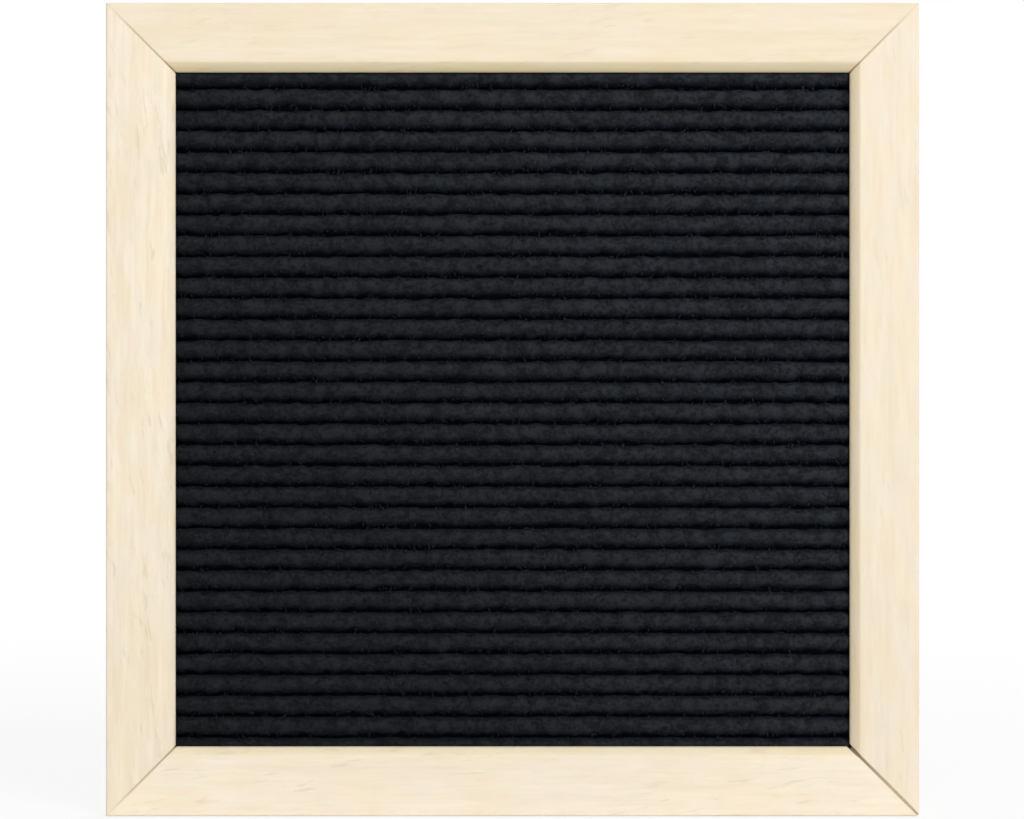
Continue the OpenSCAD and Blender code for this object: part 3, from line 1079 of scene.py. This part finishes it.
def felt_point(x, rows, number):
    """Where a point of the felt's front really lies."""
    y, z, rib, side = rows[number]
    free = in_the_open(x, z)
    before, after = rows[max(0, number - 1)], rows[min(len(rows) - 1, number + 1)]
    along = Vector((after[0] - before[0], after[1] - before[1])).normalized()
    outward = Vector((along.y, -along.x))
    dents = noise.noise(Vector((x / (6 * MM), z / (4 * MM), 3.0)))
    tufts = noise.noise(Vector((x / (2.6 * MM), z / (1.9 * MM), 9.0)))
    swell = free * (felt_swell + 0.3 * dents + 0.24 * tufts) * MM
    in_front = smooth(fold_y - y, 0, 2 * MM)
    stray = free * side * wander(x, rib, side > 0) * (0.4 + 0.6 * in_front)
    return (x, y + outward.x * swell * in_front, z + outward.y * swell * 0.4 * in_front + stray)


print("the opening measures", round(2 * sight_half / MM, 1), "mm each way")

# %% [markdown]
# ## Sewing the sheet
# The back of the felt lies hidden against the strips. It has far fewer points, and two rims sew
# it to the front, so that the sheet is one closed solid with a real thickness.

# %% Make the felt
front_columns = 200
back_columns = 16


def columns(half, inner_half, inner_count, outer_count):
    """Places across the panel: fine in the opening and coarse under the frame."""
    inner = [inner_half * (2 * k / inner_count - 1) for k in range(inner_count + 1)]
    outer = [inner_half + (half - inner_half) * (k + 1) / outer_count for k in range(outer_count)]
    return [-x for x in outer[::-1]] + inner + outer


def zip_rows(first, second, points):
    """Triangles between two rows that run side by side along X."""
    faces = []
    i = j = 0
    while i < len(first) - 1 or j < len(second) - 1:
        next_first = points[first[i + 1]][0] if i < len(first) - 1 else math.inf
        next_second = points[second[j + 1]][0] if j < len(second) - 1 else math.inf
        if next_first <= next_second:
            faces.append((first[i], first[i + 1], second[j]))
            i += 1
        else:
            faces.append((first[i], second[j + 1], second[j]))
            j += 1
    return faces


def felt_mesh():
    """The whole sheet of felt, front, back and rims."""
    panel_half = panel_high.x
    fine = columns(panel_half, sight_half, front_columns, 2)
    coarse = columns(panel_half, sight_half, back_columns, 1)
    points = [felt_point(x, felt_rows, j) for j in range(len(felt_rows)) for x in fine]
    back_start = len(points)
    points += [(x, y, z) for y, z, _, _ in back_rows for x in coarse]
    front = [[j * len(fine) + k for k in range(len(fine))] for j in range(len(felt_rows))]
    back = [
        [back_start + j * len(coarse) + k for k in range(len(coarse))]
        for j in range(len(felt_rows))
    ]
    faces = []
    for grid in (front, back):
        for a, b in zip(grid, grid[1:]):
            faces += [(a[k], a[k + 1], b[k + 1], b[k]) for k in range(len(a) - 1)]
    for a, b, c, d in zip(front, front[1:], back, back[1:]):
        faces += [(a[0], b[0], d[0], c[0]), (a[-1], b[-1], d[-1], c[-1])]
    faces += zip_rows(front[0], back[0], points) + zip_rows(front[-1], back[-1], points)
    return mesh_piece("felt_sheet", points, faces)


felt = felt_mesh()
print("felt faces:", len(felt.data.polygons))

# %% [markdown]
# ## Black felt
# Felt is a mat of dyed hairs. It has no shine, but loose hairs catch light at a glancing angle,
# which is what the Sheen input is for. Black felt is really a very dark blue grey. Patches of two
# sizes mottle it, a third tints it, and hairs lighten it here and there. Where the felt turns down
# into the grooves it is painted darker, as painted shade, and the crests of the ribs are painted a
# touch paler. The sheet is also painted paler towards its upper right, as painted light from the
# lamp on that side.
# The fibre group also gives the bump.

# %% Make the felt's material


def felt_material():
    """Black felt with a mottled pile."""
    material, tree, shader, mm = new_material(
        "felt_pile", Roughness=0.95, Specular_IOR_Level=0.08, Sheen_Weight=0.02, Sheen_Roughness=0.6
    )
    shader.inputs["Sheen Tint"].default_value = (0.75, 0.82, 0.9, 1)
    wide = blotches(tree, mm, 3.4, 2.0)
    small = blotches(tree, mm, 1.2, 6.0)
    mottle = sums(tree, "MULTIPLY_ADD", wide, 0.55, sums(tree, "MULTIPLY", small, 0.45))
    mottle = fade(tree, mottle, 0.37, 0.63)
    colour = mix_colour(tree, mottle, (0.0071, 0.0079, 0.0101), (0.0208, 0.0234, 0.0294))
    tint = fade(tree, blotches(tree, mm, 4.5, 9.0), 0.42, 0.6)
    tint = mix_colour(tree, tint, (1.06, 0.97, 0.98), (0.89, 1.02, 1.02))
    colour = mix_colour(tree, 0.6, colour, tint, "MULTIPLY")
    # Depth sets the painted shade: darker down into the grooves, a touch paler on the crests
    split = put(tree, "SeparateXYZ", {0: mm}).outputs
    crest = felt_low.y / MM
    deep = fade(tree, split["Y"], crest - 0.7, crest + 0.9)
    painted_groove_shade = mix_colour(tree, deep, (1.09, 1.07, 1.04), (0.34, 0.45, 0.72))
    colour = mix_colour(tree, 1.0, colour, painted_groove_shade, "MULTIPLY")
    # Painted light from the upper right: paler to the right, and half as much towards the top
    toward_key_lamp = sums(tree, "MULTIPLY_ADD", split["Z"], 0.465, split["X"])
    colour = scaled(tree, colour, fade(tree, toward_key_lamp, -160.0, 280.0, 0.595, 1.505))
    hairs = place(tree, fibres, {"Vector": mm, "Length": 2.2, "Width": 0.4, "Seed": 1.0})
    colour = stain(tree, colour, hairs["Hairs"], 0.5, (0.038, 0.042, 0.049))
    feed(tree, shader.inputs, Base_Color=colour)
    bump(tree, shader, hairs["Height"], 0.3 * MM)
    return material


felt_look = felt_material()
finish_piece(felt, felt_look, ["felt_facing"], sharp=180)

# %% [markdown]
# ## Loose tufts and hairs
# Handling pulls tufts and single hairs out of the felt. Tufts stand mostly along the edges of the
# grooves, where they reach across the dark gap and make its edge look soft. Hairs lie anywhere.
# Each starts on a rib, rises a little and bends as it goes. Where it stands is left to chance,
# and a fixed seed keeps that chance the same every time.

# %% Lay out one hair
rng = random.Random(11)
strip_heights = [(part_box(n)[0].z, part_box(n)[1].z) for n in strip_names]
hair_points = 5
# How far in front of the measured felt a hair on the crest of a rib starts
crest_root = 0.7 * MM


def shoulder_depth(from_edge, radius):
    """How far a rib's rounded edge lies behind its crest, at a distance from the edge."""
    return radius * (1 - math.sqrt(max(0, 1 - ((radius - from_edge) / radius) ** 2)))


def hair_path(edge_share, shortest, longest):
    """The points of one hair that starts on a rib and curls off it."""
    low, high = strip_heights[rng.randrange(len(strip_heights))]
    x = rng.uniform(-0.985, 0.985) * sight_half
    reach = (high - low) / 2 + felt_side
    middle = (high + low) / 2
    if rng.random() < edge_share:
        side = rng.choice((-1, 1))
        from_edge = rng.uniform(0.3, 1.1) * MM
        z = middle + (reach - from_edge) * side
        heading = math.radians(rng.gauss(90 * side, 45))
        depth = shoulder_depth(from_edge, upper_round if side > 0 else lower_round)
        y = felt_low.y - felt_swell * MM + 1.1 * depth
    else:
        z = middle + rng.uniform(-0.65, 0.65) * reach
        heading = math.radians(rng.uniform(0, 360))
        y = felt_low.y - crest_root
    length = rng.uniform(shortest, longest)
    bend = math.radians(rng.gauss(0, 50))
    lift = rng.uniform(0.05, 0.3) * MM
    path = []
    for k in range(hair_points):
        t = k / (hair_points - 1)
        path.append(Vector((x, y - lift * math.sin(math.pi * t), z)))
        x += math.cos(heading + bend * t) * length / (hair_points - 1)
        z += math.sin(heading + bend * t) * length / (hair_points - 1)
    return path


print("ribs that carry hairs:", len(strip_heights))

# %% [markdown]
# ## Thousands of hairs in two meshes
# Thousands of objects would be slow, so all tufts share one mesh and all hairs another. Each one
# is a thin closed tube with three sides that tapers to a point at both ends. Tufts are short,
# thick and as dark as the felt. Hairs are long, thin and paler. Any that would reach the frame
# is left out.

# %% Raise tufts and hairs


def hair_mesh(name, count, edge_share, lengths, radii):
    """Many tapered hairs in one mesh."""
    points = []
    faces = []
    for _ in range(count):
        path = hair_path(edge_share, *lengths)
        r = rng.uniform(*radii)
        if not all(in_the_open(p.x, p.z, 0.8 * MM) > 0.9 for p in path):
            continue
        first = len(points)
        points.append(path[0])
        for p, q in zip(path[1:-1], path[2:]):
            along = (q - p).normalized()
            side = along.cross(Vector((0, 1, 0))).normalized()
            up = side.cross(along)
            for k in range(3):
                a = 2 * math.pi * k / 3
                points.append(p + (side * math.cos(a) + up * math.sin(a)) * r)
        points.append(path[-1])
        last = len(points) - 1
        loops = [first + 1 + 3 * k for k in range(hair_points - 2)]
        for k in range(3):
            after = (k + 1) % 3
            faces.append((first, loops[0] + k, loops[0] + after))
            for a, b in zip(loops, loops[1:]):
                faces.append((a + k, b + k, b + after, a + after))
            faces.append((loops[-1] + k, last, loops[-1] + after))
    return mesh_piece(name, points, faces)


def hair_material():
    """Loose felt hair, paler than the pile."""
    material, tree, shader, mm = new_material("loose_hair", Roughness=0.85, Specular_IOR_Level=0.2)
    shade = fade(tree, blotches(tree, mm, 2.0, 5.0), 0.35, 0.7)
    colour = mix_colour(tree, shade, (0.012, 0.014, 0.018), (0.038, 0.042, 0.05))
    feed(tree, shader.inputs, Base_Color=colour)
    return material


tufts = hair_mesh("felt_tufts", 8000, 0.85, (0.8 * MM, 1.9 * MM), (0.1 * MM, 0.26 * MM))
hairs = hair_mesh("felt_hairs", 1600, 0.3, (1.2 * MM, 3.0 * MM), (0.03 * MM, 0.07 * MM))
for piece, look in ((tufts, felt_look), (hairs, hair_material())):
    dress(piece, look)
    piece.data.shade_smooth()
print("faces of tufts and hairs:", len(tufts.data.polygons), len(hairs.data.polygons))

# %% [markdown]
# ## Greyboard strips
# Under each rib lies a strip of greyboard, the stiff grey card of book covers. The felt hides
# them, and their measured solids have the right shape, so those stay and get a material only.
# Greyboard is recycled paper: a mottled grey with small dark brown specks.

# %% Give the strips their card


def greyboard_material():
    """Recycled grey card."""
    material, tree, shader, mm = new_material("grey_card", Roughness=0.9, Specular_IOR_Level=0.2)
    flecks = place(tree, fibres, {"Vector": mm, "Length": 1.2, "Width": 0.12, "Seed": 8.0})
    cloud = blotches(tree, mm, 6.0, 1.0)
    grey = mix_colour(tree, cloud, (0.46, 0.44, 0.4), (0.37, 0.355, 0.33))
    colour = stain(tree, grey, flecks["Hairs"], 0.5, (0.22, 0.19, 0.17))
    feed(tree, shader.inputs, Base_Color=colour)
    bump(tree, shader, flecks["Height"], 0.04 * MM)
    return material


greyboard = greyboard_material()
for node in strip_names:
    frame["nodes"][node].data.materials.clear()
    frame["nodes"][node].data.materials.append(greyboard)
print("strips:", len(strip_names))

# %% [markdown]
# ## The backing board
# A sheet of hardboard closes the back and carries the strips. Hardboard is pressed wood fibre:
# brown, smooth on its good side, with a fine wire-mesh print on the other side from the press.
# Here the printed side faces out. The board is a box whose sawn edges are slightly soft, cut
# into a grid of faces of even size.

# %% Make the backing board
backing_steps = 28
edge_soft = 0.35 * MM


def slab_mesh(name, low, high, soft, steps):
    """A flat board with rounded edges, closed, and with a grid of faces on both sides."""
    work = bmesh.new()
    bmesh.ops.create_cube(work, size=1.0)
    size = high - low
    bmesh.ops.scale(work, vec=size, verts=work.verts)
    bmesh.ops.translate(work, vec=(low + high) / 2, verts=work.verts)
    bmesh.ops.bevel(
        work, geom=work.edges[:], offset=soft, segments=3, affect="EDGES", profile=0.5
    )
    for k in range(1, steps):
        for axis in (0, 2):
            at = low.copy()
            at[axis] = low[axis] + size[axis] * k / steps
            normal = Vector((0, 0, 0))
            normal[axis] = 1
            every = work.verts[:] + work.edges[:] + work.faces[:]
            bmesh.ops.bisect_plane(work, geom=every, plane_co=at, plane_no=normal)
    mesh = bpy.data.meshes.new(name)
    work.to_mesh(mesh)
    work.free()
    return add_object(name, mesh)


backing = slab_mesh("hardboard_back", panel_low, panel_high, edge_soft, backing_steps)
print("backing faces:", len(backing.data.polygons))

# %% [markdown]
# ## Pressed fibre
# The colour moves between two browns, with paler chips in it. Two cosines of the coordinates
# cross each other, and together they print the wire mesh. The turn buttons rub the board as they
# are turned, so a faint ring shows round each screw.

# %% Give the backing its finish
wire_pitch = 1.6
# Radii in millimetres of the ring that a turning button rubs: inside and outside, soft edges
rub_ring = (8.5, 10.5, 14.2, 15.6)


def hardboard_material():
    """Brown hardboard with its wire print, and rub marks round the turn buttons."""
    looks = {"Roughness": 0.7, "Specular_IOR_Level": 0.3}
    material, tree, shader, mm = new_material("pressed_board", **looks)
    chips = place(tree, fibres, {"Vector": mm, "Length": 3.0, "Width": 0.35, "Seed": 5.0})
    cloud = blotches(tree, mm, 22.0, 3.0)
    colour = mix_colour(tree, cloud, (0.33, 0.2, 0.11), (0.23, 0.13, 0.065))
    colour = stain(tree, colour, chips["Hairs"], 0.45, (0.42, 0.28, 0.16))
    split = put(tree, "SeparateXYZ", {0: mm}).outputs
    wires = []
    for axis in ("X", "Z"):
        turn = sums(tree, "MULTIPLY", split[axis], 2 * math.pi / wire_pitch)
        wires.append(sums(tree, "COSINE", turn))
    woven = sums(tree, "MAXIMUM", *wires)
    printed = fade(tree, woven, 0.3, 1.0, 0.0, 0.3)
    colour = mix_colour(tree, printed, colour, (0.16, 0.09, 0.045))
    flat = put(tree, "CombineXYZ", {0: split["X"], 1: split["Z"]}).outputs[0]
    rub = sums(tree, "MULTIPLY_ADD", chips["Height"], 0.3, 0.1)
    for screw in button_axes.values():
        distance = vector_sums(tree, "DISTANCE", flat, (screw.x / MM, screw.z / MM, 0))
        inside = fade(tree, distance, rub_ring[0], rub_ring[1])
        ring = sums(tree, "MULTIPLY", inside, fade(tree, distance, rub_ring[3], rub_ring[2]))
        colour = stain(tree, colour, ring, rub, (0.5, 0.36, 0.22))
    feed(tree, shader.inputs, Base_Color=colour)
    relief = sums(tree, "MULTIPLY_ADD", chips["Height"], 0.35, sums(tree, "MULTIPLY", woven, -0.4))
    bump(tree, shader, relief, 0.12 * MM)
    return material


pressed_board = hardboard_material()
finish_piece(backing, pressed_board, ["backing_board"], sharp=50)
print("backing finish:", pressed_board.name)

# %% [markdown]
# ## Steel that has been handled
# The turn buttons and the hanger are zinc plated, the screws and nails are bright steel. All of
# them are scratched a little and slightly dull in places, so those marks are one group: fine
# scratches in two directions and soft spots where the plating has clouded.

# %% Build the metal group and the two metals


def handled_metal_group():
    """Scratches and cloudy spots for small steel parts."""
    sizes = {"Vector": None, "Seed": 0.0}
    tree, given, result = new_group("Handled metal", sizes, ["Scratches", "Spots"])
    where = vector_sums(tree, "MULTIPLY_ADD", given["Seed"], (9.1, 4.7, 6.3), given["Vector"])
    ways = []
    for angle, squeeze in ((25, (0.5, 9, 9)), (118, (0.4, 11, 11))):
        along = stretch(tree, turned(tree, where, (0, angle, 0)), squeeze)
        ways.append(rough_noise(tree, along, 3.0, 0.7))
    scratches = fade(tree, sums(tree, "MAXIMUM", *ways), 0.6, 0.75)
    spots = rough_noise(tree, stretch(tree, where, (0.8, 0.8, 0.8)), 3.0, 0.6)
    feed(tree, result, Scratches=scratches, Spots=fade(tree, spots, 0.4, 0.7))
    return tree


handled_metal = handled_metal_group()


def steel(name, seed, clean, cloudy, smooth_part, dull_part):
    """A steel whose colour and roughness vary with handling."""
    material, tree, shader, mm = new_material(name, Metallic=1.0)
    marks = place(tree, handled_metal, {"Vector": mm, "Seed": seed})
    colour = mix_colour(tree, marks["Spots"], clean, cloudy)
    dull = sums(tree, "MULTIPLY_ADD", marks["Spots"], dull_part - smooth_part, smooth_part)
    rough = sums(tree, "MULTIPLY_ADD", marks["Scratches"], 0.12, dull, clamp=True)
    feed(tree, shader.inputs, Base_Color=colour, Roughness=rough)
    bump(tree, shader, marks["Scratches"], 0.01 * MM, 0.6)
    return material


zinc = steel("zinc_plate", 1.0, (0.57, 0.59, 0.62), (0.47, 0.49, 0.52), 0.3, 0.44)
bright = steel("bare_steel", 5.0, (0.66, 0.66, 0.67), (0.52, 0.51, 0.5), 0.22, 0.36)
print("metals:", zinc.name, bright.name)

# %% [markdown]
# ## V nails
# The slots wait in the corners, and the nails are the same V without the extra room. Their tops
# lie level with the wood. A stamped edge is never quite sharp, so a Bevel modifier softens them.

# %% Drive the V nails
nail_bevel = 0.06 * MM


def soften_edges(piece, width):
    """Round a piece's sharp edges a little, and settle all its modifiers."""
    add_modifier(piece, "BEVEL", width=width, segments=2, limit_method="ANGLE")
    settle_modifiers(piece)


for corner in corner_names:
    for where, bend in v_bends.items():
        nail = v_nail_mesh(f"v_nail_{corner}_{where}", corner, bend)
        soften_edges(nail, nail_bevel)
        finish_piece(nail, bright, ["corner_v_nails"])

# %% [markdown]
# ## The sawtooth hanger
# A sawtooth hanger is stamped from thin steel. Both ends lie flat on the wood under a nail, and
# the middle stands off the wood, so that a nail in the wall fits behind it. The teeth let the
# board be moved along until it hangs level.
# It is made as a strip that is one sheet thick, with a column of points at every tooth and bend.
# Solidify gives it thickness, and Bevel softens the stamped edges.

# %% Stamp the hanger
hanger_low, hanger_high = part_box("sawtooth_hanger")
hanger_tab = 9.0 * MM
hanger_ramp = 3.0 * MM
tooth_w = 3.0 * MM
tooth_d = 1.8 * MM
corner_r = 1.5 * MM
stamped_bevel = 0.12 * MM
hanger_rise = hanger_high.y - hanger_t - rail_back
knee = hanger_high.x - hanger_tab
crown = knee - hanger_ramp
tooth_count = int(2 * crown / tooth_w + 1e-6)
teeth_half = tooth_count * tooth_w / 2


def hanger_stations():
    """Every X at which the hanger's outline or bend changes."""
    ends = [hanger_high.x - corner_r * (1 - math.sin(math.radians(a))) for a in (0, 30, 60, 90)]
    half = ends + [knee, knee - 0.5 * MM, crown + 0.5 * MM, crown, teeth_half]
    half += [hanger_high.x - hanger_tab * k / 4 for k in (1, 2, 3)]
    both = half + [-x for x in half]
    both += [-teeth_half + k * tooth_w / 2 for k in range(2 * tooth_count + 1)]
    return sorted(set(round(x, 7) for x in both))


def hanger_mesh():
    """The hanger's inner face, as a strip from left to right."""
    rows_up = 4
    columns_up = []
    for x in hanger_stations():
        past = max(0, abs(x) - (hanger_high.x - corner_r))
        trim = corner_r - math.sqrt(max(0, corner_r**2 - past**2))
        foot = hanger_low.z + trim
        if abs(x) <= teeth_half + 1e-7:
            phase = ((x + teeth_half) / (tooth_w / 2)) % 2
            foot += tooth_d * (1 - abs(phase - 1))
        top = hanger_high.z - trim
        y = rail_back + hanger_rise * smooth(knee - abs(x), 0, hanger_ramp)
        columns_up.append([(x, y, foot + (top - foot) * k / rows_up) for k in range(rows_up + 1)])
    return loft("hanger_plate", columns_up, closed=False, capped=False)


def thicken(piece, thickness):
    """Give a thin sheet its thickness, on the side away from the wood."""
    backwards = sum(face.normal.y for face in piece.data.polygons) > 0
    add_modifier(piece, "SOLIDIFY", thickness=thickness, offset=1.0 if backwards else -1.0)


hanger = hanger_mesh()
thicken(hanger, hanger_t)
soften_edges(hanger, stamped_bevel)
finish_piece(hanger, zinc, ["sawtooth_hanger"])
print("teeth:", tooth_count, "- the hanger rises", round(hanger_rise / MM, 2), "mm off the wood")

# %% [markdown]
# ## Nails for the hanger
# Two short nails hold the hanger. Their heads are thin discs, slightly domed. The outline runs
# from the point up the shank and over the head, and the lathe turns it.

# %% Make the hanger's nails
brad_head_t = 0.6 * MM


def brad_mesh(name, place_at):
    """A nail with a thin domed head, its shank forward in the wood."""
    r = brad_head_d / 2
    head = [(r - 0.1 * MM, 0), (r, 0.12 * MM), (r, brad_head_t - 0.22 * MM)]
    head += [(r - 0.12 * MM, brad_head_t - 0.08 * MM), (r * 0.5, brad_head_t - 0.01 * MM)]
    return lathe_mesh(name, shank(brad_d, brad_l) + head + [(0, brad_head_t)], place_at)


for side, spot in brad_spots.items():
    nail = brad_mesh(f"hanger_nail_{side}", spot)
    finish_piece(nail, bright, ["hanger_nails"])
print("hanger nails:", len(brad_spots))

# %% [markdown]
# ## Screws
# Each turn button sits under a pan head screw with a cross recess. The head is a turned shape.
# The recess is cut with two crossed wedges that narrow towards the bottom, as a driver bit does.

# %% Make the screws
head_d = 5.6 * MM
head_h = 1.6 * MM
head_side = 0.9 * MM
recess_w = 0.7 * MM
recess_l = 3.2 * MM
recess_d = 0.9 * MM


def recess_mesh(place_at, turn):
    """One arm of the cross recess: a wedge that narrows with depth."""
    top_y = place_at[1] + head_h + 0.5 * MM
    foot_y = place_at[1] + head_h - recess_d
    points = []
    for y, half_l, half_w in (
        (foot_y, recess_l * 0.22, recess_w * 0.36),
        (top_y, recess_l * 0.6, recess_w * 0.55),
    ):
        for a, b in ((-1, -1), (1, -1), (1, 1), (-1, 1)):
            spot = Vector((a * half_l, 0, b * half_w))
            spot.rotate(Matrix.Rotation(math.radians(turn), 3, "Y"))
            points.append((place_at[0] + spot.x, y, place_at[2] + spot.z))
    faces = [(0, 1, 2, 3), (4, 5, 6, 7)]
    faces += [(k, (k + 1) % 4, 4 + (k + 1) % 4, 4 + k) for k in range(4)]
    return mesh_piece("wedge", points, faces)


def screw_mesh(name, place_at, turn):
    """A pan head screw, its head standing on place_at and pointing along +Y."""
    r = head_d / 2
    dome_h = head_h - head_side
    dome_r = (r * r + dome_h * dome_h) / (2 * dome_h)
    head = [(r - 0.12 * MM, 0), (r, 0.12 * MM), (r, head_side - 0.1 * MM)]
    for k in range(8):
        radius = (r - 0.04 * MM) * (1 - k / 8)
        rise = math.sqrt(dome_r**2 - radius**2) - (dome_r - dome_h)
        head.append((radius, head_side + rise))
    piece = lathe_mesh(name, shank(screw_d, screw_l) + head + [(0, head_h)], place_at, 48)
    wedges = [recess_mesh(place_at, turn + a) for a in (0, 90)]
    cut(piece, wedges)
    for wedge in wedges:
        bpy.data.objects.remove(wedge)
    return piece


# The angle in degrees at which each screw happened to stop
screw_turns = {"top_left": 12, "top_right": 38, "bottom_left": 71, "bottom_right": 25}
for name, spot in screw_spots.items():
    screw = screw_mesh(f"screw_{name}", spot, screw_turns[name])
    finish_piece(screw, bright, ["turn_button_screws"], sharp=30)
print("screws:", len(screw_spots))

# %% [markdown]
# ## Turn buttons
# A turn button is a flat tongue of steel that swings over the backing board and holds it in the
# frame. A fingernail catches the small lip at its tip. How far it reaches follows from the width
# of the wood that its screw stands in and from its grip on the board.

# %% Measure a turn button
button_r = 5.0 * MM
tip_r = 3.0 * MM
hole_r = 1.6 * MM
grip = 8.0 * MM
reach = land / 2 + panel_play + grip - tip_r
lip_l = 1.9 * MM
lip_h = 1.1 * MM
neck_r = 1.2 * MM
print("turn buttons reach", round((reach + tip_r) / MM, 1), "mm from their screws")

# %% [markdown]
# ## From outline to tongue
# The outline is followed by angle round the screw hole, and rings between the hole and the outline
# carry the bend of the lip and a shallow pressed rib along the tongue. Each button rides on its own
# body.

# %% Stamp the turn buttons
# Where the rings lie, as shares of the way from the hole to the outline
ring_shares = [0, 0.12, 0.3, 0.5, 0.66, 0.78, 0.86, 0.92, 0.96, 1]
# The pressed rib: height, half width, and the distances between which it rises and falls away
rib_h = 0.22 * MM
rib_half_w = 0.9 * MM
rib_rises = (4.2 * MM, 6 * MM)
rib_falls = (12.6 * MM, 11 * MM)


def button_outline():
    """Points round the button, starting at the tip's end and going round the screw."""
    tip = arc((reach, 0), tip_r, 0, 90, 10)
    meeting = math.degrees(math.asin((tip_r + neck_r) / (button_r + neck_r)))
    neck_x = (button_r + neck_r) * math.cos(math.radians(meeting))
    side = [(reach + (neck_x - reach) * k / 5, tip_r) for k in range(1, 5)]
    neck = arc((neck_x, tip_r + neck_r), neck_r, 270, 180 + meeting, 4)
    head = arc((0, 0), button_r, meeting, 180, 14)
    upper = tip + side + neck + head[1:]
    return upper + [(a, -b) for a, b in upper[-2:0:-1]]


def button_mesh(name, axis_point, points_right):
    """A turn button on its screw's axis, with its tip towards the middle of the board."""
    rings = []
    for share_out in ring_shares:
        ring = []
        for a, b in button_outline():
            angle = math.atan2(b, a)
            hole = Vector((hole_r * math.cos(angle), hole_r * math.sin(angle)))
            spot = hole.lerp(Vector((a, b)), share_out)
            lip = lip_h * smooth(spot.x, reach + tip_r - lip_l, reach + tip_r)
            rib = rib_h * smooth(spot.x, *rib_rises) * smooth(spot.x, *rib_falls)
            rib *= math.exp(-((spot.y / rib_half_w) ** 2))
            across = spot.x if points_right else -spot.x
            y = rail_back + button_air + lip + rib
            ring.append((axis_point.x + across, y, axis_point.z + spot.y))
        rings.append(ring)
    return loft(name, rings, capped=False)


for name, axis_point in button_axes.items():
    button = button_mesh(f"button_{name}", axis_point, name.endswith("left"))
    thicken(button, button_t)
    soften_edges(button, stamped_bevel)
    node = "turn_button_" + name
    finish_piece(button, zinc, [node], body=node)
print("turn buttons:", len(button_axes))

# %% [markdown]
# ## Bumpers
# Two clear rubber bumpers on the lower rail keep the board off the wall. Each is a small moulded
# disc with a rounded rim. Soft rubber is hazy: it passes some light and scatters the rest, so the
# material has a share of Transmission, some roughness and a pale colour of its own. A film of
# glue holds each foot a hair off the wood, which also keeps two faces from lying in one plane.

# %% Mould the bumpers
bumper_round = 1.0 * MM
bumper_wall = 0.8 * MM
foot_bevel = 0.15 * MM
glue_film = 0.03 * MM


def rubber_material():
    """Clear soft rubber with a haze."""
    material, tree, shader, mm = new_material(
        "soft_clear_rubber", Transmission_Weight=0.3, IOR=1.4, Specular_IOR_Level=0.4
    )
    haze = blotches(tree, mm, 1.2, 7.0)
    colour = mix_colour(tree, haze, (0.8, 0.8, 0.78), (0.72, 0.725, 0.715))
    rough = sums(tree, "MULTIPLY_ADD", haze, 0.12, 0.3)
    feed(tree, shader.inputs, Base_Color=colour, Roughness=rough)
    return material


clear_rubber = rubber_material()
for side in ("left", "right"):
    low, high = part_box("bumper_" + side)
    radius = (high.x - low.x) / 2
    thick = high.y - low.y
    base = ((low.x + high.x) / 2, low.y, (low.z + high.z) / 2)
    outline = [(0, glue_film), (radius - foot_bevel, glue_film)]
    outline += [(radius, glue_film + foot_bevel), (radius, bumper_wall)]
    outline.append((radius, thick - bumper_round))
    outline += arc((radius - bumper_round, thick - bumper_round), bumper_round, 0, 90, 8)[1:]
    outline += [(radius * 0.4, thick), (0, thick)]
    bumper = lathe_mesh(f"rubber_foot_{side}", outline, base, 56)
    finish_piece(bumper, clear_rubber, ["bumper_" + side])
print("bumpers:", round(2 * radius / MM, 1), "mm across,", round(thick / MM, 1), "mm thick")
